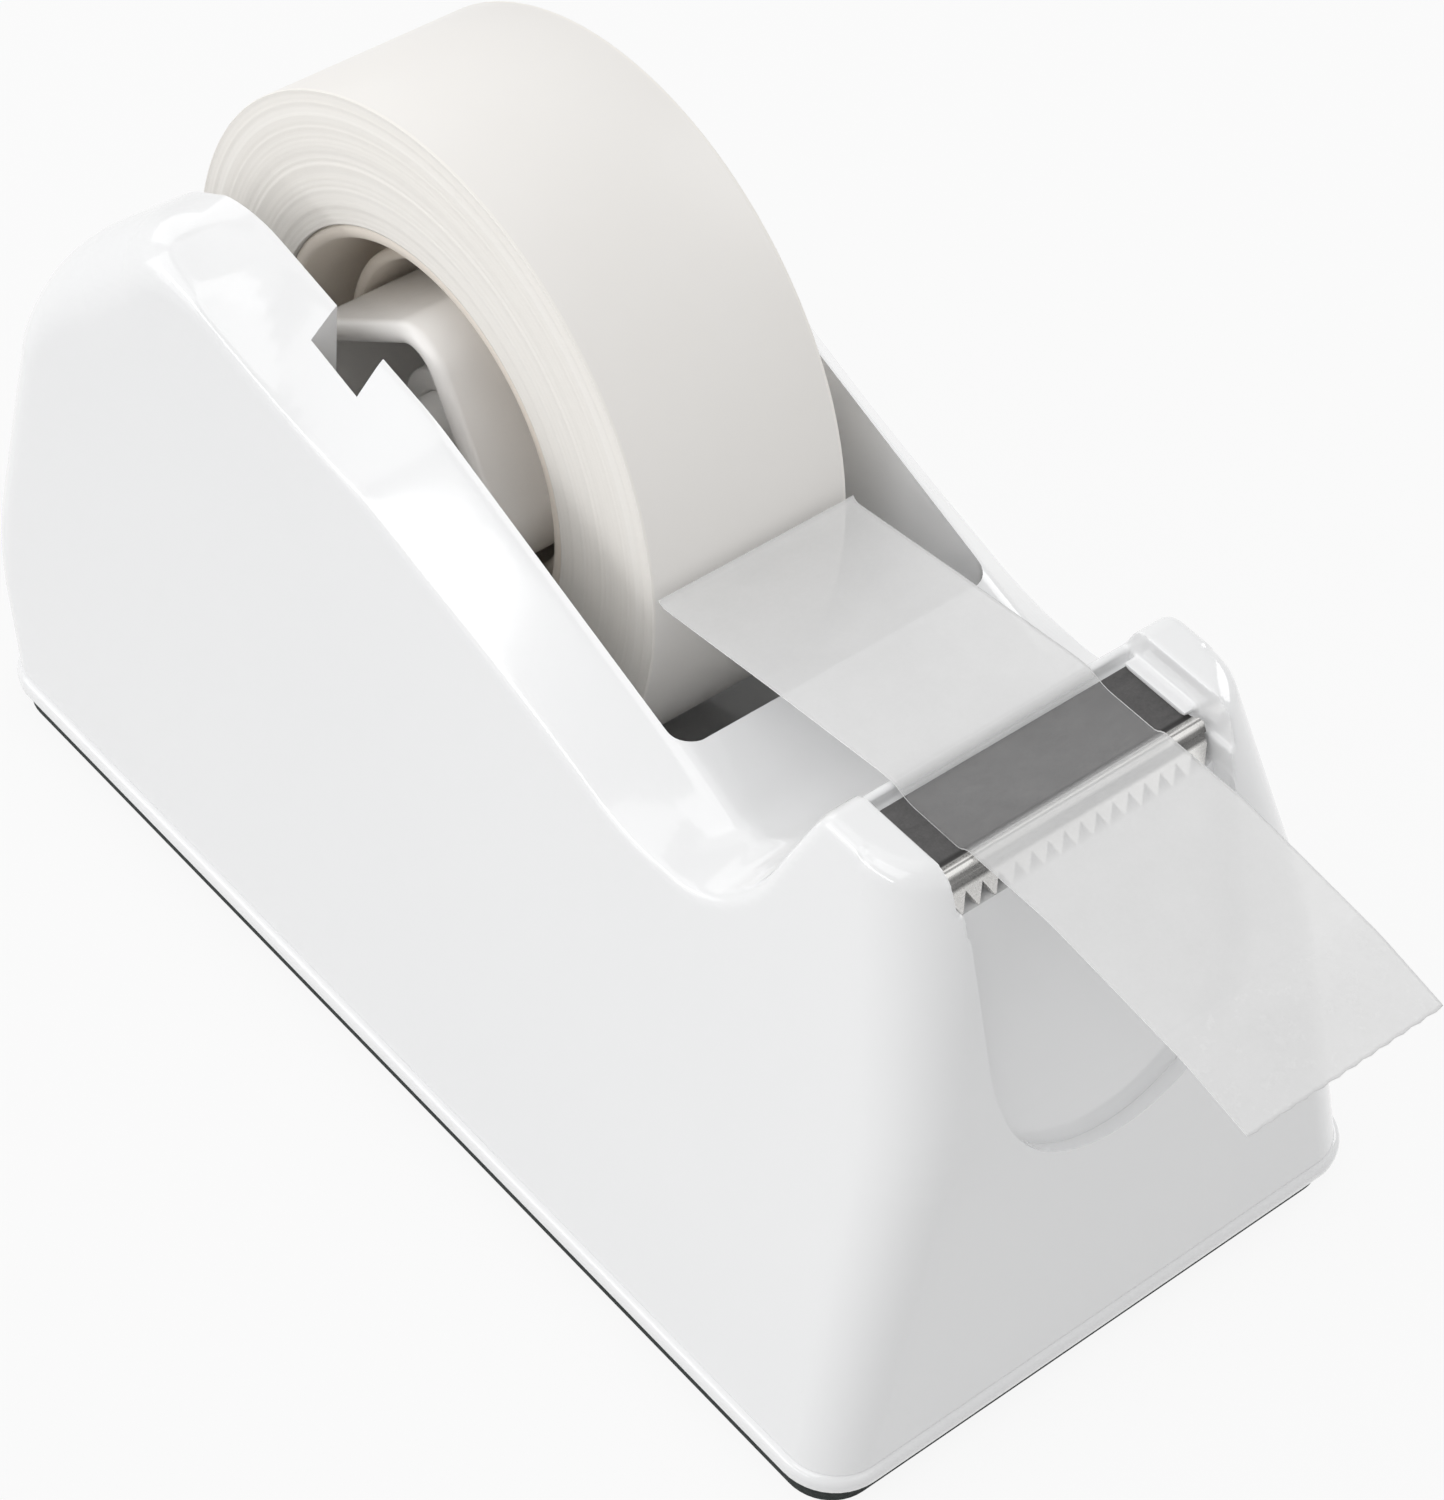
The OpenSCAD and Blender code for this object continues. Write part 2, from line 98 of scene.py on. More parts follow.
class Finish:
    """A material, or the sky, made of nodes: one method makes every kind of node."""

    def __init__(self, name, owner=None):
        self.owner = owner or bpy.data.materials.new(name)
        self.owner.use_nodes = True
        self.tree = self.owner.node_tree
        self.tree.nodes.clear()

    def node(self, kind, settings=None, sockets=None, out=0):
        """Adds a node: its settings first, then the values or links of its sockets."""
        made = self.tree.nodes.new("ShaderNode" + kind)
        for key, value in (settings or {}).items():
            setattr(made, key, value)
        for key, value in (sockets or {}).items():
            if isinstance(value, Wire):
                self.tree.links.new(value.socket, made.inputs[key])
            elif made.inputs[key].type == "RGBA":
                made.inputs[key].default_value = (*value, 1)
            else:
                made.inputs[key].default_value = value
        return Wire(self, made.outputs[out]) if made.outputs else None

    def place(self):
        """Where on the object a point lies, in metres."""
        return self.node("TexCoord", out="Object")

    def vector(self, operation, first, second=(0, 0, 0), out="Vector"):
        return self.node("VectorMath", {"operation": operation}, {0: first, 1: second}, out)

    def stretched(self, scale):
        """The same place with each axis scaled, for grain that runs one way."""
        return self.vector("MULTIPLY", self.place(), scale)

    def apart(self, axis):
        """The place along one axis only."""
        return self.node("SeparateXYZ", {}, {0: self.place()}, axis)

    def grain(self, scale, detail=2.0, roughness=0.5, at=None):
        return self.node("TexNoise", {}, {"Vector": at or self.place(), "Scale": scale,
                                          "Detail": detail, "Roughness": roughness}, "Fac")

    def mixed(self, share, first, second):
        return self.node("Mix", {"data_type": "RGBA"}, {SHARE: share, FIRST: first, SECOND: second}, MIXED)

    def between(self, value, start, end):
        """Nought up to start, one from end on, and an even rise from one to the other."""
        return self.node("MapRange", {"clamp": True},
                         {"Value": value, "From Min": start, "From Max": end}, "Result")

    def relief(self, height, distance, strength=1.0):
        return self.node("Bump", {}, {"Height": height, "Distance": distance * MM, "Strength": strength},
                         "Normal")

    def shader(self, **sockets):
        return self.node("BsdfPrincipled", {}, {k.replace("_", " "): v for k, v in sockets.items()}, "BSDF")

    def shown(self, shader, output="OutputMaterial"):
        self.node(output, {}, {"Surface": shader})
        return self.owner

    def surface(self, **sockets):
        return self.shown(self.shader(**sockets))


def dress(piece, material):
    """Gives a piece one finish all over."""
    piece.data.materials.clear()
    piece.data.materials.append(material)


def rounded_ring(half_w, half_len, corner, z, steps=12):
    """Rectangle with round corners at height z, as a ring of points."""
    arc = np.linspace(0, math.pi / 2, steps)
    ring = []
    for quarter, (side_x, side_y) in enumerate([(1, 1), (-1, 1), (-1, -1), (1, -1)]):
        turn = arc + quarter * math.pi / 2
        ring.append(np.column_stack([side_x * (half_w - corner) + corner * np.cos(turn),
                                     side_y * (half_len - corner) + corner * np.sin(turn),
                                     np.full(steps, z)]))
    return np.vstack(ring)


def mesh_piece(name, points, faces):
    """Object from points in millimetres."""
    mesh = bpy.data.meshes.new(name)
    mesh.from_pydata((np.asarray(points) * MM).tolist(), [], [tuple(int(i) for i in f) for f in faces])
    mesh.polygons.foreach_set("use_smooth", [True] * len(mesh.polygons))
    mesh.validate()
    piece = bpy.data.objects.new(name, mesh)
    bpy.context.scene.collection.objects.link(piece)
    return piece


def ring_faces(count, size, loop=False):
    """Quads between neighbouring rings, and in a loop from the last ring to the first."""
    faces = []
    for i in range(count if loop else count - 1):
        a, b = i * size, (i + 1) % count * size
        faces += [(a + j, a + (j + 1) % size, b + (j + 1) % size, b + j) for j in range(size)]
    return faces


def ring_piece(name, rings, loop=False):
    """Closed skin through rings of equally many points, with a fan over each end that is no loop."""
    count, size = len(rings), len(rings[0])
    points = np.vstack(rings)
    faces = ring_faces(count, size, loop)
    if not loop:
        first, last = len(points), len(points) + 1
        points = np.vstack([points, rings[0].mean(0), rings[-1].mean(0)])
        faces += [(first, (j + 1) % size, j) for j in range(size)]
        end = (count - 1) * size
        faces += [(last, end + j, end + (j + 1) % size) for j in range(size)]
    return mesh_piece(name, points, faces)


mat = ring_piece("anti_slip_mat_foam", [
    rounded_ring(mat_high.x - inset, mat_high.y - inset, MAT_CORNER - inset, z) for inset, z in MAT_EDGE])

foam = Finish("foam_rubber")
cells = foam.node("TexVoronoi", {"feature": "F1"}, {"Vector": foam.place(), "Scale": 2600.0}, "Distance")
dust = foam.grain(220.0, 4.0)
dress(mat, foam.surface(
    Base_Color=foam.mixed(dust * 0.5 + cells * 0.4, (0.009, 0.013, 0.012), (0.035, 0.042, 0.040)),
    Roughness=0.78 + dust * 0.2,
    Normal=foam.relief(cells, 0.12)))
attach(mat, "body")
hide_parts("anti_slip_mat")

# ---- Base plate ----
# A flat injection-moulded plate in the body's white plastic, with a soft rounded edge and a low
# collar that fits inside the body. Four screws come up through it, and the mat covers their heads.

plate_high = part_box("base_plate")[1] / MM
PLATE_TOP, PLATE_CORNER, TOP_ROUND, FOOT_ROUND, FOOT_INSET = 4.2, 4.9, 0.85, 1.05, 0.2
COLLAR_HALF_W, COLLAR_HALF_LEN, COLLAR_T, COLLAR_TOP = 24.42, 48.2, 1.2, 6.2
COLLAR_CORNER, COLLAR_EDGE = 3.0, 0.2
SCREW_PLACES = [(20.7, -44.4), (19.5, 45.4)]
SCREW_R, SCREW_HEAD_R, SCREW_HEAD_H = 1.25, 2.3, 1.1


def rounding(radius, start=0.0, end=math.pi / 2, steps=10):
    """Points of a rounded edge: how far each lies in from the side, and short of the end."""
    return [(radius * (1 - math.cos(a)), radius * (1 - math.sin(a))) for a in np.linspace(start, end, steps)]


plate_edge = [(FOOT_INSET + FOOT_ROUND, mat_t)]
plate_edge += [(i, mat_t + short) for i, short in rounding(FOOT_ROUND, math.pi / 2, 0, 6)]
plate_edge += [(i, PLATE_TOP - short) for i, short in rounding(TOP_ROUND)]
collar_edge = [(0, PLATE_TOP), (0, COLLAR_TOP - COLLAR_EDGE), (COLLAR_EDGE, COLLAR_TOP)]
collar_edge += [(COLLAR_T - i, z) for i, z in collar_edge[::-1]]
plate = ring_piece("base_plate_moulding", [
    *[rounded_ring(plate_high.x - i, plate_high.y - i, PLATE_CORNER - i, z) for i, z in plate_edge],
    *[rounded_ring(COLLAR_HALF_W - i, COLLAR_HALF_LEN - i, COLLAR_CORNER - i, z) for i, z in collar_edge]])


def turned_rings(profile, steps, centre, axis="Z"):
    """Rings of a turned piece: each profile point is (radius, place along the axis)."""
    turn = np.linspace(0, 2 * math.pi, steps, endpoint=False)
    rings = []
    for radius, along in profile:
        round_x, round_y, flat = radius * np.cos(turn), radius * np.sin(turn), np.full(steps, along)
        ring = np.column_stack([round_x, round_y, flat] if axis == "Z" else [flat, round_x, round_y])
        rings.append(ring + np.asarray(centre))
    return rings


def upright_pin(radius, top, x, y, steps=32):
    """A plain round pin that stands on the desk."""
    return ring_piece("pin", turned_rings([(radius, 0), (radius, top)], steps, (x, y, 0)))


def settle(piece):
    """Makes a piece's modifiers part of its mesh."""
    graph = bpy.context.evaluated_depsgraph_get()
    made = bpy.data.meshes.new_from_object(piece.evaluated_get(graph))
    piece.modifiers.clear()
    old, piece.data = piece.data, made
    bpy.data.meshes.remove(old)


def combine(piece, other, operation="DIFFERENCE"):
    """Cuts a piece with another solid, or joins the two, and drops the other."""
    change = piece.modifiers.new("cut", "BOOLEAN")
    change.operation, change.object, change.solver = operation, other, "MANIFOLD"
    settle(piece)
    bpy.data.objects.remove(other)


SCREW_GAP, HEAD_GAP, THROUGH = 0.1, 0.2, 20
for side in (-1, 1):
    for x, y in SCREW_PLACES:
        combine(plate, upright_pin(SCREW_R + SCREW_GAP, THROUGH, side * x, y))
        combine(plate, upright_pin(SCREW_HEAD_R + HEAD_GAP, mat_t + SCREW_HEAD_H, side * x, y))

white = Finish("moulded_white")
flow = white.grain(38.0, 3.0)
orange_peel = white.grain(900.0, 3.0, 0.6)
BODY_WHITE, BODY_WHITE_LOW = (0.885, 0.888, 0.892), (0.862, 0.866, 0.872)
body_white = white.surface(
    Base_Color=white.mixed(flow, BODY_WHITE_LOW, BODY_WHITE),
    Roughness=0.13 + orange_peel * 0.06,
    Coat_Weight=0.8, Coat_Roughness=0.06,
    Normal=white.relief(orange_peel, 0.0012, 0.5),
    IOR=1.5)
dress(plate, body_white)
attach(plate, "body")
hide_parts("base_plate")

# ---- Base screws and ballast ----
# Four plated steel screws, and three blocks of cast iron that give the dispenser its weight. All
# of them are shut in between the plate and the body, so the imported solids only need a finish.

plated = Finish("plated_steel")
swirl = plated.grain(700.0, 3.0, at=plated.stretched((1.0, 1.0, 6.0)))
plated_steel = plated.surface(
    Base_Color=plated.mixed(swirl, (0.52, 0.52, 0.50), (0.66, 0.66, 0.64)),
    Metallic=1.0, Roughness=0.28 + swirl * 0.2, Normal=plated.relief(swirl, 0.02))
cast = Finish("cast_iron")
sand = cast.grain(1200.0, 5.0, 0.7)
rust = cast.grain(90.0, 4.0)
cast_iron = cast.surface(
    Base_Color=cast.mixed(rust, (0.05, 0.05, 0.052), (0.11, 0.095, 0.085)),
    Metallic=0.6, Roughness=0.62 + sand * 0.3, Normal=cast.relief(sand, 0.15))
for node, finish in [("base_screws", plated_steel), ("ballast_left", cast_iron),
                     ("ballast_right", cast_iron), ("ballast_front", cast_iron)]:
    dress(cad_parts[node], finish)

# ---- Body shell ----
# One hollow injection moulding in glossy white plastic, with leaning sides, sloping shoulders, a
# well and two slots for the reel, a cutter seat between two cheeks and a finger scoop. It stands
# on the plate, and the screws hold it.

BODY_HALF_W, BODY_HALF_LEN = 27.9, 53.4
AXIS_Y, AXIS_Z = 21.5, 43.0
SEAT_Z, CHEEK_TOP = 50.0, 53.4
BLADE_REAR, BLADE_FRONT = -33.6, -40.4
TRAY_REAR = -32.9
SIDE_VIEW = [   # [y, z, corner radius, edge radius before and after]
    (-54.5, -6, 0, 1.4, 1.4), (-50.8, 32, 31, 1.4, 1.4), (-43.1, CHEEK_TOP, 1.7, 1.3, 1.3),
    (-33.2, CHEEK_TOP, 1.7, 1.3, 1.3), (-28.0, 41.2, 5.5, 1.3, 1.5), (12.0, 55.4, 30, 1.5, 1.5),
    (38.5, 60.4, 14, 1.8, 6.0), (53.2, 45.8, 20, 6.5, 3.8), (57.1, 15, 24, 3.8, 3.8), (50.9, -6, 0, 4.4, 4.4)]
# how far the outer edge of the sloping shoulder lies under its inner edge, along the side view
SHOULDER_Y = (-31, -28.5, -24, -18.6, -9.7, -0.7, 8.3, 15.8, 22, 28.2, 36.8, 40.2, 42.3, 44.6)
SHOULDER_DROP = (0, 0.9, 3.7, 5.8, 6.2, 6.8, 7.2, 7.0, 6.5, 5.5, 3.6, 1.4, 0.9, 0)
SHOULDER_BLEND, SHOULDER_EASE = 2.5, 3.0
# the shoulder's inner edge, where the top is flat and once the drop is full
INNER_FLAT, INNER_FULL, FULL_DROP, LEAST_DROP = 10.0, 15.0, 2.5, 0.02
# how much the sides lean in for each millimetre of height: a curve along the length
LEAN = (0.188, -0.00184, -0.000019, 0.00000014)
# the sides run on below the desk to here, and are cut off at the plate
FOOT_Z, FOOT_REACH, FOOT_POINT = -12.0, 40.0, 6.0
CORNER_STEPS, EDGE_STEPS, SIDE_STEPS, BLEND_STEPS, SLOPE_STEPS, RUN_STEP = 22, 16, 24, 7, 6, 1.6


def unit(v):
    return np.asarray(v) / np.linalg.norm(v)


def left_of(d):
    return np.array([-d[1], d[0]])


def half_width(y, z):
    """How far the body's side stands out at a place in the side view."""
    return BODY_HALF_W - sum(c * y ** k for k, c in enumerate(LEAN)) * (z - PLATE_TOP)


def corner_stations(before, corner, after):
    """Stations round one corner of the side view: point, outward direction, edge radius."""
    at, radius = np.array(corner[:2], float), corner[2]
    u, v = unit(np.array(before[:2]) - at), unit(np.array(after[:2]) - at)
    turn = math.pi - math.acos(float(u @ v))
    hand = -np.sign(left_of(v) @ u)
    centre = at + unit(u + v) * radius / math.cos(turn / 2)
    first = at + u * radius * math.tan(turn / 2) - centre
    start = math.atan2(first[1], first[0])
    made = []
    for share in np.linspace(0, 1, CORNER_STEPS + 1):
        out = np.array([math.cos(start - hand * turn * share), math.sin(start - hand * turn * share)])
        made.append((centre + radius * out, hand * out, corner[3] + (corner[4] - corner[3]) * share))
    return made


def side_stations():
    """Stations all along the side view, from the front foot over the top to the rear foot."""
    first, second = np.array(SIDE_VIEW[0][:2], float), np.array(SIDE_VIEW[1][:2], float)
    last, fore = np.array(SIDE_VIEW[-1][:2], float), np.array(SIDE_VIEW[-2][:2], float)
    path = [(first, left_of(unit(second - first)), SIDE_VIEW[0][3])]
    for i in range(1, len(SIDE_VIEW) - 1):
        path += corner_stations(*SIDE_VIEW[i - 1:i + 2])
    path.append((last, left_of(unit(last - fore)), SIDE_VIEW[-1][3]))
    filled = []
    for a, b in zip(path, path[1:]):
        steps = max(1, math.ceil(np.linalg.norm(b[0] - a[0]) / RUN_STEP))
        filled += [(a[0] + (b[0] - a[0]) * t, unit(a[1] + (b[1] - a[1]) * t), a[2] + (b[2] - a[2]) * t)
                   for t in np.arange(steps) / steps]
    return filled + path[-1:]


def fillet(corner, toward, onward, radius, steps):
    """Arc that rounds a corner between two directions, first point on the side of toward."""
    u, w = unit(toward), unit(onward)
    half = math.acos(max(-1, min(1, float(u @ w)))) / 2
    reach = radius / math.tan(half)
    centre = corner + unit(u + w) * radius / math.sin(half)
    a, b = unit(corner + u * reach - centre), unit(corner + w * reach - centre)
    span = math.acos(max(-1, min(1, float(a @ b))))
    turn = np.linspace(0, span, steps)[:, None]
    return centre + radius * (np.sin(span - turn) * a + np.sin(turn) * b) / math.sin(span)


def on_side(y, z):
    return np.array([half_width(y, z), y, z])


def half_section(point, out, edge):
    """Half of a cross-section of the body: up the side, round the edge, then over the shoulder."""
    nearby = point[0] + np.linspace(-SHOULDER_EASE, SHOULDER_EASE, 13)
    drop = float(np.interp(nearby, SHOULDER_Y, SHOULDER_DROP).mean()) if out[1] > 0 else 0.0
    inner = np.array([INNER_FLAT + (INNER_FULL - INNER_FLAT) * min(1, drop / FULL_DROP), *point])
    outer = on_side(*(point - drop * out))
    down = on_side(*(point - (drop + 0.5) * out)) - outer
    arc = fillet(outer, down, inner - outer, edge, EDGE_STEPS)
    if drop > LEAST_DROP:
        blend = fillet(inner, outer - inner, (-1, 0, 0), SHOULDER_BLEND, BLEND_STEPS)
    else:
        blend = inner + np.linspace(0.5, -1, BLEND_STEPS)[:, None] * (1, 0, 0)
    slope = arc[-1] + (blend[0] - arc[-1]) * (np.arange(1, SLOPE_STEPS) / SLOPE_STEPS)[:, None]
    foot_y = min(max(arc[0][1], -FOOT_REACH), FOOT_REACH)
    foot = on_side(foot_y, FOOT_Z)
    column = [foot + (arc[0] - foot) * t for t in np.arange(SIDE_STEPS) / SIDE_STEPS]
    return np.vstack([[on_side(y, z) for _, y, z in column], arc, slope, blend])


def grid_faces(rows, size, first=0):
    """Quads of a grid of points, whose numbers run on from first."""
    quads = []
    for i in range(first, first + (rows - 1) * size, size):
        quads += [(i + j, i + j + 1, i + size + j + 1, i + size + j) for j in range(size - 1)]
    return quads


def grid_rim(rows, size):
    """The points round the outside of a grid, in turn."""
    last = (rows - 1) * size
    return [*range(size), *range(2 * size - 1, last + size, size),
            *range(last + size - 2, last - 1, -1), *range(last - size, 0, -size)]


def body_block():
    """The body's outer shape as one solid, closed by a flat cone below the desk."""
    halves = [half_section(*s) for s in side_stations()]
    rings = [np.vstack([h, h[::-1] * (-1, 1, 1)]) for h in halves]
    count, size = len(rings), len(rings[0])
    rim, middle = grid_rim(count, size), count * size
    faces = grid_faces(count, size) + [(middle, rim[(i + 1) % len(rim)], rim[i]) for i in range(len(rim))]
    return mesh_piece("body_shell_moulding", np.vstack(rings + [[(0, 0, FOOT_Z - FOOT_POINT)]]), faces)


def prism(outline, low, high, along="X"):
    """Solid of a flat outline: (y, z) swept along X, or (x, y) swept along Z."""
    ends = []
    for place in (low, high):
        ends.append([(place, a, b) if along == "X" else (a, b, place) for a, b in outline])
    count = len(outline)
    faces = [(i, (i + 1) % count, (i + 1) % count + count, i + count) for i in range(count)]
    faces += [tuple(range(count - 1, -1, -1)), tuple(range(count, 2 * count))]
    return mesh_piece("cutter", np.array(ends[0] + ends[1]), faces)


def box(low, high):
    (x0, y0, z0), (x1, y1, z1) = low, high
    return prism([(y0, z0), (y1, z0), (y1, z1), (y0, z1)], x0, x1)


shell = body_block()
# the skin has to face outward, or the cuts fail
if shell.data.polygons[0].normal.x < 0:
    shell.data.flip_normals()
# the upright corners in front, which grow rounder upwards and end in a narrow rim round each cheek
FRONT_R_LOW, FRONT_R_HIGH, CHEEK_RIM, WASTE = 4.2, 6.0, 1.4, 9.0
front_line = np.array([point for point, _, _ in side_stations()
                       if point[0] < SIDE_VIEW[2][0] - 0.1 and point[1] < CHEEK_TOP - 2])


def front_y(z):
    """Where the front wall stands at a height, on in a straight line above its highest point."""
    (below_y, below_z), (top_y, top_z) = front_line[-2:]
    if z > top_z:
        return top_y + (z - top_z) * (top_y - below_y) / (top_z - below_z)
    return float(np.interp(z, front_line[:, 1], front_line[:, 0]))


levels = [(z, 0.0) for z in np.linspace(0, CHEEK_TOP - CHEEK_RIM, 24)]
levels += [(CHEEK_TOP - short, i) for i, short in rounding(CHEEK_RIM, 0.15, math.pi / 2, 9)]
levels += [(CHEEK_TOP + 4, CHEEK_RIM + 2)]
turn = np.linspace(0, math.pi / 2, 17)
for side in (-1, 1):
    corners = []
    for z, inset in levels:
        radius = FRONT_R_LOW + (FRONT_R_HIGH - FRONT_R_LOW) * z / CHEEK_TOP
        y = front_y(min(z, CHEEK_TOP)) + radius
        x = half_width(y, min(z, CHEEK_TOP)) - radius
        far_x, far_y = x + radius + WASTE, y - radius - WASTE
        arc = np.column_stack([x + (radius - inset) * np.cos(turn), y - (radius - inset) * np.sin(turn)])
        ring = np.vstack([arc, [(x, far_y), (far_x, far_y), (far_x, y)]])
        corners.append(np.column_stack([ring[:, 0] * side, ring[:, 1], np.full(len(ring), z)])[::side])
    combine(shell, ring_piece("cutter", corners))
# how far cutters reach that run right through the body, and above it out of its openings
FAR, ASIDE, ABOVE = 90, 60, 120
# cuts that leave the seat, the rib behind it and the drop ahead of the teeth
CHEEK_GAP, BLADE_LEN, RIB_T, RIB_H, TOOTH_DROP, TOOTH_GAP = 26.8, 25.4, 1.3, 1.1, 2.1, 0.6
for half, rear, low in [(BLADE_LEN / 2 + 0.2, BLADE_FRONT - TOOTH_GAP, SEAT_Z - TOOTH_DROP),
                        (CHEEK_GAP / 2, TRAY_REAR, SEAT_Z),
                        (CHEEK_GAP / 2, TRAY_REAR + RIB_T, SEAT_Z + RIB_H)]:
    combine(shell, box((-half, -FAR, low), (half, rear, FAR)))
# lips on the cheeks that hold the blade's ends down
LIP_OVER, LIP_T, BLADE_T, PLAY = 0.5, 0.4, 0.5, 0.05
lip_in, lip_out, lip_z = BLADE_LEN / 2 - LIP_OVER, CHEEK_GAP / 2 + 1, SEAT_Z + BLADE_T + PLAY
for x0, x1 in [(lip_in, lip_out), (-lip_out, -lip_in)]:
    combine(shell, box((x0, BLADE_FRONT + 0.5, lip_z), (x1, BLADE_REAR, lip_z + LIP_T)), "UNION")
# left long at the foot, until the edges are soft
FOOT_WASTE = 2.0
combine(shell, box((-FAR, -FAR, -FAR), (FAR, FAR, PLATE_TOP - FOOT_WASTE)))

# the well, in flat runs round the roll, with round corners when seen from above
WELL_HALF_W, WELL_FRONT, WELL_CORNER, WELL_R = 15.2, -17.4, 2.0, 30.0
WELL_STEP, WELL_WALL, NOTCH_REAR, NOTCH_DROP = 2.0, 1.8, 5.0, 5.0
# the corners of those runs, in well radii from the axle
WELL_RUNS = [(-0.75, -0.84), (-0.2, -1.01), (0.25, -1.01), (0.72, -0.82), (1, -0.4)]


def well_view(extra):
    """Side view of the well, pushed outward by extra."""
    points = [(WELL_FRONT, ABOVE), (WELL_FRONT, AXIS_Z + WELL_STEP)]
    points += [(AXIS_Y + a * WELL_R, AXIS_Z + b * WELL_R) for a, b in WELL_RUNS] + [(AXIS_Y + WELL_R, ABOVE)]
    pushed = []
    for i, p in enumerate(points):
        a, b = unit(np.subtract(p, points[i - 1])), unit(np.subtract(points[(i + 1) % len(points)], p))
        na, nb = -left_of(a), -left_of(b)
        pushed.append(np.asarray(p) + extra * (na + nb) / (1 + float(na @ nb)))
    return [tuple(p) for p in pushed]


def well_plan(extra):
    """The well seen from above, pushed outward by extra."""
    half, front, corner = WELL_HALF_W + extra, WELL_FRONT - extra, WELL_CORNER + extra
    left = [(i - half, front + short) for i, short in rounding(corner, steps=9)]
    return [(-half, ABOVE)] + left + [(-x, y) for x, y in left[::-1]] + [(half, ABOVE)]


def well_solid(extra):
    solid = prism(well_view(extra), -ASIDE, ASIDE)
    combine(solid, prism(well_plan(extra), -ASIDE, ABOVE + 10, "Z"), "INTERSECT")
    return solid


# the hollow under the body, clear of the well, the slots' pads and the screw posts
CAVITY_WALL, CAVITY_TOP = 2.8, 55.0
hollow = prism([(-50, 0), (-47, 23), (-38.5, 41.2), (-35.9, 47.2), (TRAY_REAR, 47.2), (-28.8, 37.1),
                (WELL_FRONT, 39.8), (7.5, 47), (37.5, 51), (48.4, 37), (52.4, 14), (51, 0)], -ASIDE, ASIDE)
across = []
for y in np.linspace(-BODY_HALF_LEN, BODY_HALF_LEN, 24):
    low, high = half_width(y, 0) - CAVITY_WALL, half_width(y, CAVITY_TOP) - CAVITY_WALL
    across.append(np.array([(-low, y, 0), (low, y, 0), (high, y, CAVITY_TOP), (-high, y, CAVITY_TOP)]))
combine(hollow, ring_piece("cutter", across), "INTERSECT")
combine(hollow, well_solid(WELL_WALL))
SLOT_DEPTH, AXLE_R = 2.4, 2.8
PAD_HALF_T, PAD_WALL, PAD_DROP = 2.2, 3.0, 5.0
POST_R, POST_H, BRACE_HALF_T, BRACE_OUT, BRACE_LOW, BRACE_SHORT = 3.1, 14.0, 0.8, 29.0, 3.0, 2.0
for side in (-1, 1):
    pad = side * (WELL_HALF_W + SLOT_DEPTH / 2 + 1)
    combine(hollow, box((pad - PAD_HALF_T, AXIS_Y - AXLE_R - PAD_WALL, AXIS_Z - PAD_DROP),
                        (pad + PAD_HALF_T, AXIS_Y + AXLE_R + PAD_WALL, FAR)))
    for x, y in SCREW_PLACES:
        combine(hollow, upright_pin(POST_R, PLATE_TOP + POST_H, side * x, y, 48))
        start, end = sorted((side * x, side * BRACE_OUT))
        combine(hollow, box((start, y - BRACE_HALF_T, PLATE_TOP + BRACE_LOW),
                            (end, y + BRACE_HALF_T, PLATE_TOP + POST_H - BRACE_SHORT)))
well = well_solid(0)
notch = box((-WELL_HALF_W, AXIS_Y + NOTCH_REAR, AXIS_Z - NOTCH_DROP), (WELL_HALF_W, FAR, ABOVE))
# the outer edges are a little soft: one fine remesh, a light smoothing, then fewer facets
VOXEL, SOFTEN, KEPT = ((0.24, 3, 150000))
remesh = shell.modifiers.new("fine", "REMESH")
remesh.mode, remesh.voxel_size, remesh.use_smooth_shade = "VOXEL", VOXEL * MM, True
settle(shell)
ease = shell.modifiers.new("ease", "SMOOTH")
ease.factor, ease.iterations = 0.5, SOFTEN
settle(shell)
facets = sum(len(p.vertices) - 2 for p in shell.data.polygons)
if facets > KEPT:
    fewer = shell.modifiers.new("fewer", "DECIMATE")
    fewer.ratio = KEPT / facets
    settle(shell)
# the openings, whose rims stay crisp
for opening in (hollow, well, notch):
    combine(shell, opening)
# slots that the axle's ends drop into
axis = (0, AXIS_Y, AXIS_Z)
slot_reach, slot_half = WELL_HALF_W + SLOT_DEPTH, AXLE_R + PLAY
slot_ends = [(slot_half, -slot_reach), (slot_half, slot_reach)]
combine(shell, ring_piece("slot", turned_rings(slot_ends, 64, axis, "X")))
combine(shell, box((-slot_reach, AXIS_Y - slot_half, AXIS_Z), (slot_reach, AXIS_Y + slot_half, ABOVE)))
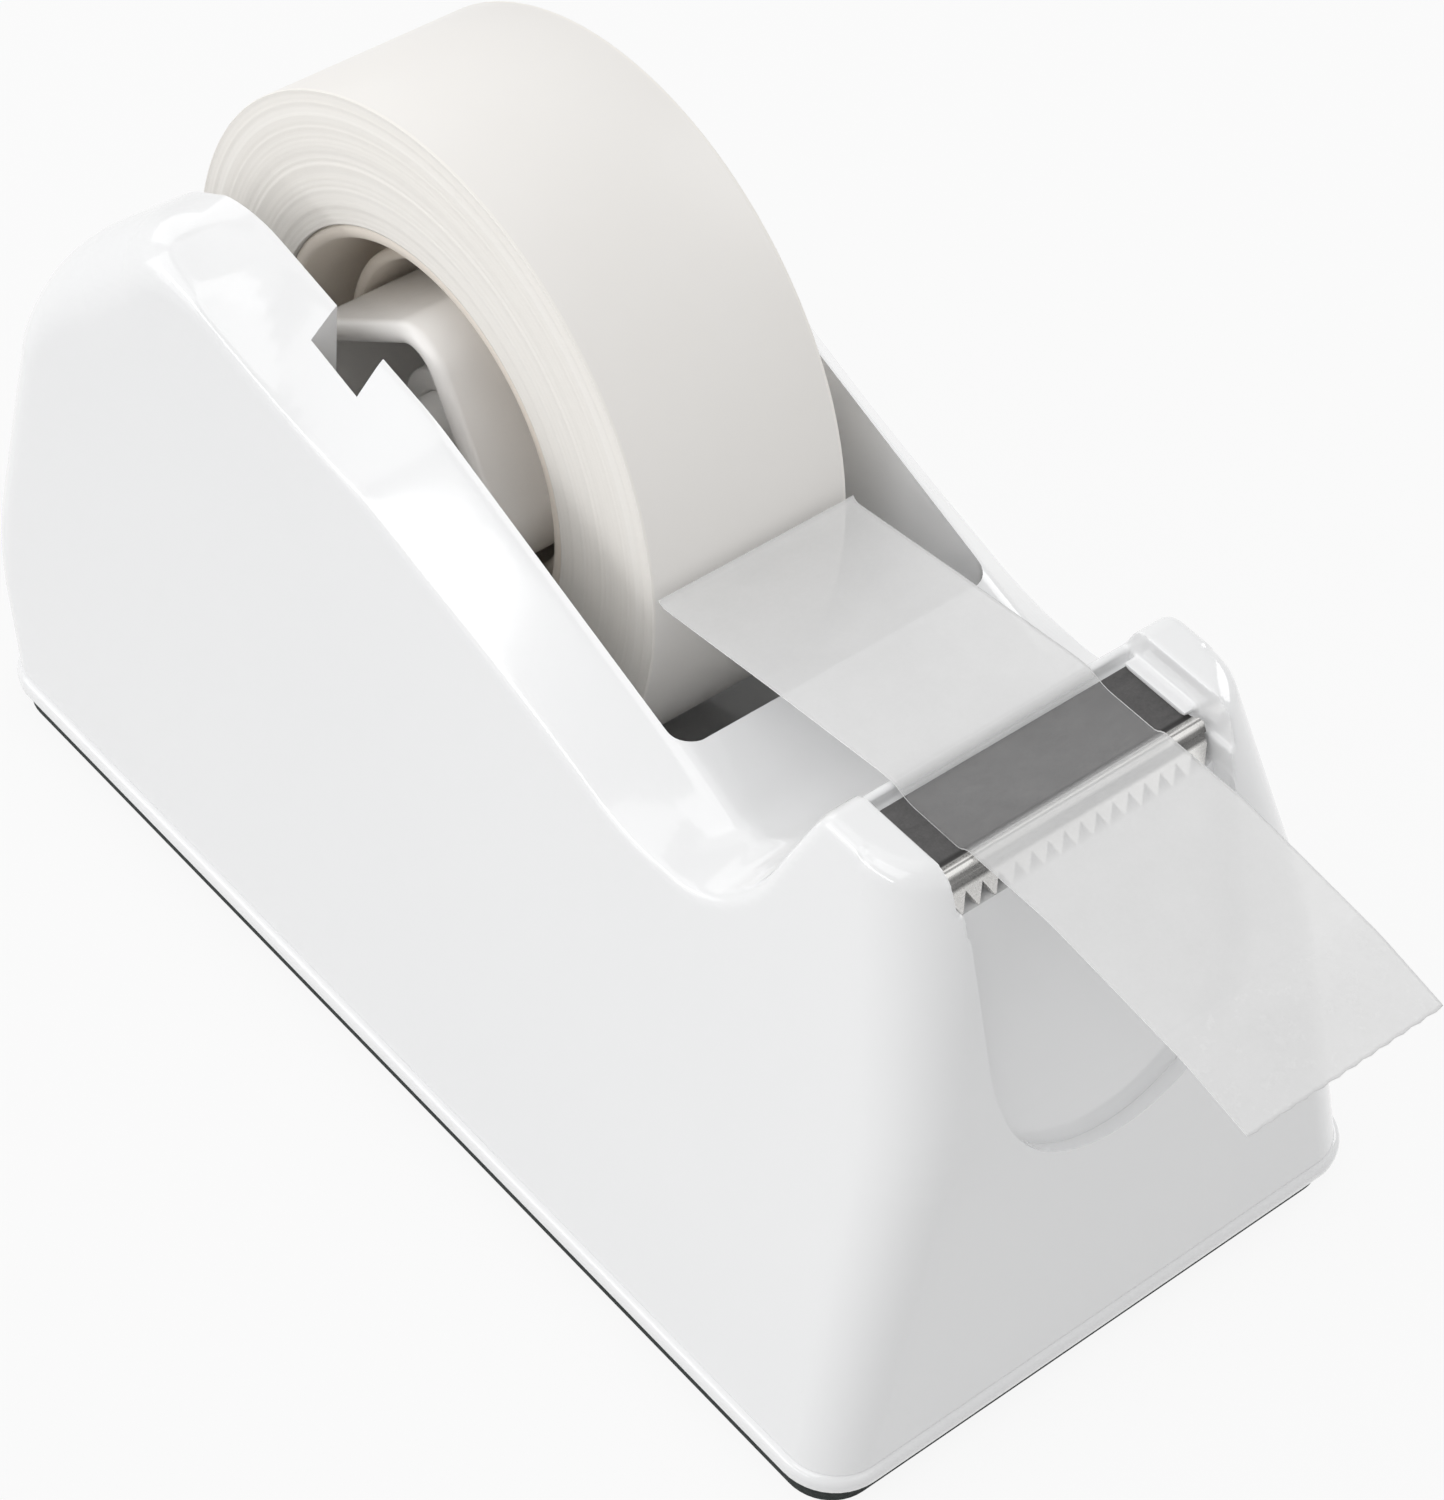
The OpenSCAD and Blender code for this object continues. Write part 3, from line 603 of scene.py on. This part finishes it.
# the scoop, shallow and even behind the curved front
SCOOP_R, SCOOP_Z, SCOOP_TOP_Y, SCOOP_LEAN = 12.8, 36.3, BLADE_FRONT - 1.5, math.radians(17)
SCOOP_LOW, SCOOP_HIGH = 20, 54
SCOOP_DEPTH_Z, SCOOP_DEPTH = (22, 34, 48), (1.2, 1.7, 2.3)
drop = (SEAT_Z - SCOOP_Z) / math.cos(SCOOP_LEAN)
scoop_plan = [(SCOOP_R * math.cos(a), SCOOP_R * math.sin(a) - drop)
              for a in np.linspace(math.pi, 2 * math.pi, 65)]
scoop = prism(scoop_plan + [(SCOOP_R, 10), (-SCOOP_R, 10)], -6, 20, "Z")
scoop.data.transform(Matrix.Translation(Vector((0, SCOOP_TOP_Y, SEAT_Z)) * MM)
                     @ Matrix.Rotation(math.pi / 2 - SCOOP_LEAN, 4, "X"))
scoop_floor = [(front_y(z) + float(np.interp(z, SCOOP_DEPTH_Z, SCOOP_DEPTH)), z)
               for z in np.linspace(SCOOP_LOW, SCOOP_HIGH, 35)]
combine(scoop, prism(scoop_floor + [(-80, SCOOP_HIGH), (-80, SCOOP_LOW)], -40, 40), "INTERSECT")
combine(shell, scoop)
# the foot to length, and the holes that the screws bite into
SCREW_BITE, SHARP_FROM = 9.0, math.radians(50)
combine(shell, box((-FAR, -FAR, -FAR), (FAR, FAR, PLATE_TOP)))
for side in (-1, 1):
    for x, y in SCREW_PLACES:
        combine(shell, upright_pin(SCREW_R + PLAY, PLATE_TOP + SCREW_BITE, side * x, y))
shell.data.shade_smooth()
shell.data.set_sharp_from_angle(angle=SHARP_FROM)
dress(shell, body_white)
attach(shell, "body")
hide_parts("body_shell")

# ---- Cutter blade ----
# A strip of spring steel, blanked and pressed: a flat plate with a fine grained face, a raised ridge
# along its front edge with a painted highlight, and a row of sharp teeth that point down ahead of the seat.

TEETH, TOOTH_LEN, TIP_SHARE, RIDGE_H, RIDGE_LEN = 16, 1.44, 0.08, 0.5, 0.9
ridge_y, ridge_front, blade_top = BLADE_FRONT - RIDGE_LEN / 2, BLADE_FRONT - RIDGE_LEN, SEAT_Z + BLADE_T
section = [(BLADE_REAR, SEAT_Z), (BLADE_REAR, blade_top), (BLADE_FRONT + 0.3, blade_top),
           (ridge_y, blade_top + RIDGE_H), (ridge_front, blade_top + RIDGE_H),
           (ridge_front - 0.45, blade_top + RIDGE_H - 0.75), (ridge_front - 0.1, SEAT_Z + RIDGE_H - 0.45),
           (ridge_y + 0.2, SEAT_Z + RIDGE_H - 0.1), (BLADE_FRONT + 0.5, SEAT_Z)]


def rounded(outline, radius, steps=4):
    """Flat outline with each corner cut to a short curve."""
    made = []
    for i, p in enumerate(np.asarray(outline, float)):
        a, b = outline[i - 1] - p, outline[(i + 1) % len(outline)] - p
        cut = min(radius, np.linalg.norm(a) * 0.45, np.linalg.norm(b) * 0.45)
        start, end = p + unit(a) * cut, p + unit(b) * cut
        made += [tuple((1 - t) ** 2 * start + 2 * t * (1 - t) * p + t * t * end)
                 for t in np.linspace(0, 1, steps)]
    return made


BLADE_EDGE, COMB_MARGIN, COMB_ROOT, COMB_LEAN = 0.16, 0.2, 1.1, math.atan2(2.7, 1.6)
blade = prism(rounded(np.array(section), BLADE_EDGE), -BLADE_LEN / 2, BLADE_LEN / 2)
blade.name = "cutter_blade_steel"
comb_half = BLADE_LEN / 2 - COMB_MARGIN
pitch = 2 * comb_half / TEETH
comb = [(comb_half, 0), (-comb_half, 0), (-comb_half, -COMB_ROOT)]
for i in range(TEETH):
    left, tip = i * pitch - comb_half, -COMB_ROOT - TOOTH_LEN
    comb += [(left + pitch * (1 - TIP_SHARE) / 2, tip), (left + pitch * (1 + TIP_SHARE) / 2, tip),
             (left + pitch, -COMB_ROOT)]
teeth = prism(comb, -BLADE_T / 2, BLADE_T / 2, "Z")
teeth.data.transform(Matrix.Translation(Vector((0, ridge_front - 0.1, SEAT_Z + RIDGE_H - 0.2)) * MM)
                     @ Matrix.Rotation(COMB_LEAN, 4, "X"))
combine(blade, teeth, "UNION")
blade.data.polygons.foreach_set("use_smooth", [False] * len(blade.data.polygons))

steel = Finish("pressed_steel")
depth = steel.apart("Y")
rolled = steel.grain(1500.0, 4.0, 0.75, at=steel.stretched((0.45, 1.0, 1.0)))
grit = steel.grain(5200.0, 3.0, 0.7)
shade_blotches = steel.grain(420.0, 3.0, 0.6, at=steel.stretched((0.12, 1.0, 1.0)))


def line_across(y, outer, inner):
    """A line from side to side: one as far as inner from its middle, nought beyond outer."""
    return steel.between(abs(depth - y * MM), outer * MM, inner * MM)


# painted highlight: the ridge and the teeth ahead of it get a pale base colour
at_ridge = steel.between(depth, (BLADE_FRONT + 0.22) * MM, (BLADE_FRONT + 0.02) * MM)
# painted shade: dark lines at the bend up to the ridge, along the ridge's top and at the teeth's roots,
# blotchy along the last two
crease = line_across(BLADE_FRONT + 0.42, 0.34, 0.10)
ridge_shade_line = line_across(BLADE_FRONT - 0.62, 0.13, 0.05)
below = line_across(BLADE_FRONT - 1.32, 0.36, 0.2)
painted_shade = crease * 0.9 + ridge_shade_line * 0.7 * (0.4 + shade_blotches) + below * (0.3 + shade_blotches)
face = steel.mixed(rolled * 0.55 + grit * 0.45, (0.030, 0.029, 0.029), (0.150, 0.146, 0.146))
ridge_highlight = steel.mixed(at_ridge, face, (0.80, 0.79, 0.77))
dress(blade, steel.surface(
    Base_Color=steel.mixed(painted_shade.at_most(1.0), ridge_highlight, (0.018, 0.017, 0.017)),
    Metallic=0.35 + at_ridge * 0.65,
    Roughness=0.50 - at_ridge * 0.28 + grit * 0.12,
    Normal=steel.relief(rolled * 0.5 + grit * 0.5, 0.02, 0.7)))
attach(blade, "body")
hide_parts("cutter_blade")

# ---- Axle ----
# A round pin moulded in the reel's white plastic. Its ends lie in the body's slots, and a small
# bead round its middle snaps into the hub, which spins on it.

AXLE_HALF, AXLE_EDGE, BEAD_LEN, BEAD_H = WELL_HALF_W + SLOT_DEPTH - 0.2, 0.5, 2.0, 0.35
bead_r, bead_half = AXLE_R + BEAD_H, BEAD_LEN / 2
axle_half = [(bead_r, 0), (bead_r, bead_half - 0.1), (bead_r - 0.05, bead_half), (AXLE_R, bead_half + BEAD_H),
             (AXLE_R, AXLE_HALF - AXLE_EDGE)]
axle_half += [(AXLE_R - i, AXLE_HALF - short) for i, short in rounding(AXLE_EDGE, 0.3, math.pi / 2, 5)]
profile = [(r, -x) for r, x in axle_half[:0:-1]] + axle_half
axle = ring_piece("axle_pin", turned_rings(profile, 72, axis, "X"))

reel = Finish("reel_white")
reel_flow = reel.grain(60.0, 3.0)
reel_peel = reel.grain(1100.0, 3.0, 0.6)
# the reel's white is warmer and brighter than the body's: painted warm bounce light that lifts the shaded hub
reel_white = reel.surface(
    Base_Color=reel.mixed(reel_flow, (0.925, 0.905, 0.88), (0.95, 0.935, 0.915)),
    Roughness=0.20 + reel_peel * 0.08,
    Normal=reel.relief(reel_peel, 0.0015, 0.5))
dress(axle, reel_white)
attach(axle, "axle")
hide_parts("axle")

# ---- Hub ----
# A square drum with round corners, moulded in the same white plastic, that grips the core from
# inside: a thin wall with round rims, open at both ends, with a web and a bearing boss inside.

CORE_BORE_D, HUB_LEN, HUB_CORNER, HUB_T, HUB_TURN = 26.2, 23.0, 4.3, 1.9, math.radians(-35)
BOSS_R, BOSS_LEN, BOSS_EDGE, BOSS_FILLET, HUB_WEB_T, WEB_FILLET = 4.8, 14.0, 0.3, 0.5, 2.4, 0.6
BORE_GAP, GROOVE_GAP, GROOVE_HALF, GROOVE_END = 0.05, 0.1, 1.1, 1.6
LEAST_CORNER, HUB_STEPS = 0.4, 160
HUB_SIDE = math.sqrt(2) * (CORE_BORE_D / 2 - PLAY + HUB_CORNER * (math.sqrt(2) - 1))


def hub_ring(inset, along):
    """Square with round corners, seen along the axle, in evenly spaced points."""
    half, corner = HUB_SIDE / 2 - inset, max(HUB_CORNER - inset, LEAST_CORNER)
    flat = rounded_ring(half, half, corner, 0, 14)[:, :2]
    loop = np.vstack([flat, flat[:1]])
    run = np.concatenate([[0], np.cumsum(np.linalg.norm(np.diff(loop, axis=0), axis=1))])
    at = np.linspace(0, run[-1], HUB_STEPS, endpoint=False)
    u, v = np.interp(at, run, loop[:, 0]), np.interp(at, run, loop[:, 1])
    c, s = math.cos(HUB_TURN), math.sin(HUB_TURN)
    return np.column_stack([np.full(HUB_STEPS, along), AXIS_Y + u * c - v * s, AXIS_Z + u * s + v * c])


def boss_ring(radius, along):
    """Circle round the axle that starts where the square does."""
    turn = HUB_TURN + np.linspace(0, 2 * math.pi, HUB_STEPS, endpoint=False)
    return np.column_stack([np.full(HUB_STEPS, along),
                            AXIS_Y + radius * np.cos(turn), AXIS_Z + radius * np.sin(turn)])


rim_r, hub_end, web, boss_end = HUB_T / 2, HUB_LEN / 2, HUB_WEB_T / 2, BOSS_LEN / 2
wall = [(0, 0), (0, hub_end - rim_r - 2)]
wall += [(i, hub_end - short) for i, short in rounding(rim_r, 0, math.pi, 13)]
wall += [(HUB_T, web + WEB_FILLET), (HUB_T + 0.18, web + 0.18), (HUB_T + WEB_FILLET, web)]
boss = [(BOSS_R + BOSS_FILLET, web), (BOSS_R + 0.14, web + 0.14), (BOSS_R, web + BOSS_FILLET),
        (BOSS_R, boss_end - BOSS_EDGE), (BOSS_R - 0.09, boss_end - 0.09), (BOSS_R - BOSS_EDGE, boss_end),
        (AXLE_R + BOSS_EDGE, boss_end), (AXLE_R + 0.06, boss_end - 0.25), (AXLE_R + BORE_GAP, GROOVE_END),
        (bead_r + GROOVE_GAP, GROOVE_HALF), (bead_r + GROOVE_GAP, 0)]
half_rings = [hub_ring(*at) for at in wall] + [boss_ring(*at) for at in boss]
other_half = [ring * (-1, 1, 1) for ring in half_rings[-2:0:-1]]
hub = ring_piece("hub_drum", half_rings + other_half, loop=True)
dress(hub, reel_white)
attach(hub, "reel")
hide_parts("hub")

# ---- Tape core ----
# The spool that the tape is wound on, moulded in a thin milky plastic that looks warm against
# the white reel: an outer rim, a thin web and an inner ring that slides over the hub.

TAPE_W, CORE_HOLE_R, CORE_RIM_T, CORE_RIM_EDGE = 19.0, 16.4, 1.2, 0.2
CORE_RING_T, CORE_RING_LEN, CORE_RING_EDGE, CORE_WEB_T = 1.05, 10.6, 0.25, 1.4
ring_in, ring_out, ring_half = CORE_BORE_D / 2, CORE_BORE_D / 2 + CORE_RING_T, CORE_RING_LEN / 2
winding_r, rim_half, core_web = CORE_HOLE_R + CORE_RIM_T, TAPE_W / 2 - 0.3, CORE_WEB_T / 2
core_half = [(winding_r, 0), (winding_r, rim_half - CORE_RIM_EDGE), (winding_r - CORE_RIM_EDGE, rim_half),
             (CORE_HOLE_R + CORE_RIM_EDGE, rim_half), (CORE_HOLE_R, rim_half - CORE_RIM_EDGE),
             (CORE_HOLE_R, core_web + 0.4), (CORE_HOLE_R - 0.12, core_web + 0.1),
             (CORE_HOLE_R - 0.5, core_web), (ring_out + 0.5, core_web),
             (ring_out + 0.1, core_web + 0.1), (ring_out, core_web + 0.4),
             (ring_out, ring_half - CORE_RING_EDGE), (ring_out - CORE_RING_EDGE, ring_half),
             (ring_in + CORE_RING_EDGE, ring_half), (ring_in, ring_half - CORE_RING_EDGE), (ring_in, 0)]
profile = core_half + [(r, -x) for r, x in core_half[-2:0:-1]]
core = ring_piece("tape_core_spool", turned_rings(profile, 144, axis, "X"), loop=True)

milky = Finish("milky_core")
haze = milky.grain(140.0, 4.0)
dress(core, milky.surface(
    Base_Color=milky.mixed(haze, (0.86, 0.78, 0.69), (0.93, 0.87, 0.79)),
    Roughness=0.36 + haze * 0.12,
    Normal=milky.relief(milky.grain(1500.0, 2.0), 0.01, 0.5)))
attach(core, "reel")
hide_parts("tape_core")

# ---- Tape roll ----
# Matt clear film wound tight: hundreds of thin layers that together look warm white. The edges
# of the layers never line up quite, so the sides are ringed, and the outside is smooth satin.

ROLL_R, LAYERS, ROLL_STEPS = 28.5, 92, 192
# how far the layers' edges stray from the roll's side, and the most that they stand in or out
STRAY, SWAY, SWAY_PER_LAYER, SIDE_INSET, MOST_IN, MOST_OUT = 0.028, 0.012, 0.37, 0.09, -0.1, 0.08
shift = np.random.default_rng(7).normal(0, 1, LAYERS)
shift = STRAY * np.convolve(shift, [0.25, 0.5, 0.25], "same")
shift += SWAY * np.sin(np.arange(LAYERS) * SWAY_PER_LAYER)
radii = np.linspace(winding_r + 0.05, ROLL_R - 0.12, LAYERS)


def side_profile(steps, sign):
    """One side of the roll from the core outward, with a ring at every layer."""
    return [(radius, sign * (TAPE_W / 2 - SIDE_INSET + max(MOST_IN, min(MOST_OUT, step))))
            for radius, step in zip(radii, steps)]


outside = [(ROLL_R - 0.04, TAPE_W / 2 - 0.03), (ROLL_R, TAPE_W / 2 - 0.1), (ROLL_R, 0),
           (ROLL_R, 0.1 - TAPE_W / 2), (ROLL_R - 0.04, 0.03 - TAPE_W / 2)]
profile = [(winding_r + 0.02, 0), *side_profile(shift, 1), *outside,
           *side_profile(np.roll(shift, 17), -1)[::-1]]
roll = ring_piece("tape_roll_wound", turned_rings(profile, ROLL_STEPS, axis, "X"), loop=True)

wound = Finish("wound_tape")
from_axis = wound.vector("SUBTRACT", wound.place(), tuple(Vector(axis) * MM))
radius = wound.vector("LENGTH", wound.vector("MULTIPLY", from_axis, (0, 1, 1)), out="Value")
on_side = wound.between(abs(wound.apart("X")), (TAPE_W / 2 - 0.35) * MM, (TAPE_W / 2 - 0.22) * MM)
wander = wound.grain(55.0, 3.0)
layer_at = wound.node("CombineXYZ", {}, {0: radius + wander * 0.0004}, "Vector")
rings = wound.grain(2600.0, 5.0, 0.75, at=layer_at)
broad = wound.grain(420.0, 3.0, 0.6, at=layer_at)
cloud = wound.grain(70.0, 3.0)
satin = wound.grain(1800.0, 3.0, 0.6)
side_tone = wound.mixed(rings * 0.5 + broad * 0.5, (0.90, 0.865, 0.81), (0.965, 0.95, 0.92))
outer_tone = wound.mixed(cloud, (0.87, 0.845, 0.812), (0.90, 0.882, 0.855))
dress(roll, wound.surface(
    Base_Color=wound.mixed(on_side, outer_tone, side_tone),
    Roughness=0.36 + on_side * 0.24 + satin * 0.1,
    Normal=wound.relief(rings * on_side + satin * 0.05, 0.03, 0.6)))
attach(roll, "reel")
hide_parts("tape_roll")

# ---- Free end of the tape ----
# The last turn peels off the front of the roll in a sharp crease and runs over the rib and the
# blade, where its sticky side holds it, then droops past the teeth to a jagged torn edge.

FILM_T, FILM_BEND, COLUMNS, ROWS, TEAR = 0.10, 0.9, 49, 180, 0.24
roll_front = AXIS_Y - ROLL_R
film_line = [(roll_front - 0.2, AXIS_Z + 5.6), (roll_front - 0.62, AXIS_Z + 5.25),
             (roll_front - 1.3, AXIS_Z + 5.3), (-19.5, 49.8), (TRAY_REAR + RIB_T, 51.22), (TRAY_REAR, 51.22),
             (BLADE_REAR - 0.8, 50.64), (BLADE_FRONT + 0.6, 50.64), (BLADE_FRONT, 51.14),
             (ridge_front, 51.14), (BLADE_FRONT - 8, 51.2), (BLADE_FRONT - 12, 50.75),
             (BLADE_FRONT - 22, 49.5), (BLADE_FRONT - 28.45, 48.0)]
bends = rounded(np.array(film_line), FILM_BEND, 9)[9:-9]
line = np.array([film_line[0], *bends, film_line[-1]])
run = np.concatenate([[0], np.cumsum(np.linalg.norm(np.diff(line, axis=0), axis=1))])
film_length = run[-1]
along = np.linspace(0, film_length, ROWS)
path = np.column_stack([np.interp(along, run, line[:, 0]), np.interp(along, run, line[:, 1])])
normals = [-left_of(unit(step)) for step in np.gradient(path, axis=0)]
points, sheet_faces = [], []
for level in (0, 1):
    for row, (point, normal) in enumerate(zip(path, normals)):
        y, z = point + normal * FILM_T * level
        for x in np.linspace(-TAPE_W / 2, TAPE_W / 2, COLUMNS):
            tear = TEAR * abs(x * TEETH / BLADE_LEN % 1 - 0.5) if row == ROWS - 1 else 0
            points.append((x, y + tear, z))
    quads = grid_faces(ROWS, COLUMNS, level * ROWS * COLUMNS)
    sheet_faces += quads if level else [quad[::-1] for quad in quads]
edge, up = grid_rim(ROWS, COLUMNS), ROWS * COLUMNS
sheet_faces += [(a, b, b + up, a + up) for a, b in zip(edge, edge[1:] + edge[:1])]
film = mesh_piece("tape_free_end", points, sheet_faces)

matt = Finish("matt_film")
patches = matt.grain(190.0, 4.0, 0.6)
frost = matt.grain(3000.0, 3.0, 0.7)
along_film = matt.apart("Y")


def over_length(start, end):
    """Nought on the roll's side of start, one beyond end."""
    return matt.between(along_film, start * MM, end * MM)


# in front of here the film is held by hand, so it is a little clouded
FINGERED = -60.0
stuck = over_length(BLADE_REAR + 0.9, BLADE_REAR - 0.2)
free = over_length(BLADE_FRONT + 0.3, BLADE_FRONT - 0.9)
clear_of_teeth = over_length(BLADE_FRONT - 2.2, BLADE_FRONT - 4.5)
handled = over_length(FINGERED, FINGERED - 0.6)
smudges = matt.between(matt.grain(700.0, 3.0, 0.6), 0.56, 0.66)
# near the crease the film is left clearer, so the dark well shows through as painted shade
past_crease_shade = over_length(-9.0, -19.0)
cloudy_and_crease_shade = (1 - stuck) * (0.40 + past_crease_shade * 0.16) + free * 0.36 + clear_of_teeth * 0.14
dress(film, matt.surface(
    Base_Color=matt.mixed(patches, (0.83, 0.83, 0.83), (0.89, 0.89, 0.89)),
    Roughness=0.36 + frost * 0.14,
    Alpha=0.05 + patches * 0.04 + frost * 0.03 + cloudy_and_crease_shade + handled * (0.06 + smudges * 0.05),
    Normal=matt.relief(frost + patches * 0.6, 0.008, 0.5)))
# the film's edge faces are an opaque white: a painted highlight along its edges
edge_highlight = Finish("film_edge_painted_highlight")
nicks = edge_highlight.grain(2400.0, 2.0)
film.data.materials.append(edge_highlight.surface(
    Base_Color=edge_highlight.mixed(nicks, (0.90, 0.90, 0.90), (0.96, 0.96, 0.96)), Roughness=0.3 + nicks * 0.2))
for face in film.data.polygons[-len(edge):]:
    face.material_index = 1
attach(film, "axle")
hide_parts("tape_strip")

# ---- Studio ----
# A plain pale floor under an even white sky, with a few soft lamps: the strongest stand to the
# left and the right. The camera looks down on the cutter's corner from the left in front.

REACH, GROUND_WHITE, SKY_LIGHT = 6.0, 0.9, 0.56
floor_mesh = bpy.data.meshes.new("studio_floor")
floor_mesh.from_pydata([(-REACH, -REACH, 0), (REACH, -REACH, 0), (REACH, REACH, 0), (-REACH, REACH, 0)],
                       [], [(0, 1, 2, 3)])
floor = bpy.data.objects.new("studio_floor", floor_mesh)
bpy.context.scene.collection.objects.link(floor)


def looked_at(finish):
    """One for rays from the eye, also by way of a reflection or through glass, else nought."""
    eye, mirrored, through = (finish.node("LightPath", out=kind)
                              for kind in ("Is Camera Ray", "Is Glossy Ray", "Is Transmission Ray"))
    return eye.at_least(mirrored).at_least(through)


ground = Finish("studio_ground")
plain = ground.shader(Base_Color=(0.6, 0.6, 0.6), Roughness=0.9)
glowing = ground.node("Emission", {}, {"Color": (1, 1, 1), "Strength": 1.0}, "Emission")
dress(floor, ground.shown(
    ground.node("MixShader", {}, {0: looked_at(ground) * GROUND_WHITE, 1: plain, 2: glowing}, "Shader")))

world = bpy.data.worlds.new("studio")
bpy.context.scene.world = world
sky = Finish("sky", world)
strength = SKY_LIGHT + looked_at(sky) * (1 - SKY_LIGHT)
sky.shown(sky.node("Background", {}, {"Color": (1, 1, 1), "Strength": strength}, "Background"), "OutputWorld")

LAMPS = [   # (name, place, what it points at, size, power), in metres and watts
    ("overhead", (-0.2, 0.2, 0.92), (0, 0, 0.03), (0.8, 0.8), 1.0),
    ("left_high", (-0.65, -0.1, 0.8), (0, 0, 0.03), (0.6, 0.5), 1.3),
    ("left_rear", (-0.85, 0.6, 0.42), (0, 0, 0.03), (0.8, 0.8), 1.9),
    ("left_strip", (-0.9, 0.35, 0.33), (0, 0.35, 0.03), (1.4, 0.1), 1.5),
    ("right", (0.85, 0, 0.45), (0, 0, 0.03), (0.5, 0.5), 1.8),
    ("rear", (0, 0.85, 0.5), (0, 0, 0.03), (0.6, 0.5), 0.8),
    ("front", (0.1, -0.9, 0.5), (0, 0, 0.03), (0.5, 0.5), 0.4)]
for name, place, aim, size, power in LAMPS:
    light = bpy.data.lights.new(name, "AREA")
    light.shape, light.size, light.size_y, light.energy = "RECTANGLE", *size, power
    lamp = bpy.data.objects.new(name, light)
    bpy.context.scene.collection.objects.link(lamp)
    lamp.location = place
    lamp.rotation_mode = "QUATERNION"
    lamp.rotation_quaternion = (Vector(aim) - Vector(place)).to_track_quat("-Z", "Y")

camera_data = bpy.data.cameras.new("camera")
camera = bpy.data.objects.new("camera", camera_data)
bpy.context.scene.collection.objects.link(camera)
bpy.context.scene.camera = camera
AZIMUTH, ELEVATION, TILT = (math.radians(a) for a in (-44.69, 46.58, 6.19))
EYE, LENS, SENSOR_W = (-168.36, -176.06, 278.45), 111.32, 36
back = Vector((math.sin(AZIMUTH) * math.cos(ELEVATION),
               -math.cos(AZIMUTH) * math.cos(ELEVATION), math.sin(ELEVATION)))
level = Vector((0, 0, 1)).cross(back).normalized()
upright = back.cross(level)
right = math.cos(TILT) * level + math.sin(TILT) * upright
top = math.cos(TILT) * upright - math.sin(TILT) * level
camera.rotation_mode = "QUATERNION"
camera.rotation_quaternion = Matrix((right, top, back)).transposed().to_quaternion()
camera.location = Vector(EYE) * MM
camera_data.lens, camera_data.sensor_width, camera_data.sensor_fit = LENS, SENSOR_W, "HORIZONTAL"
camera_data.clip_start, camera_data.clip_end = 0.01, 20
bpy.context.scene.view_settings.view_transform = "Standard"
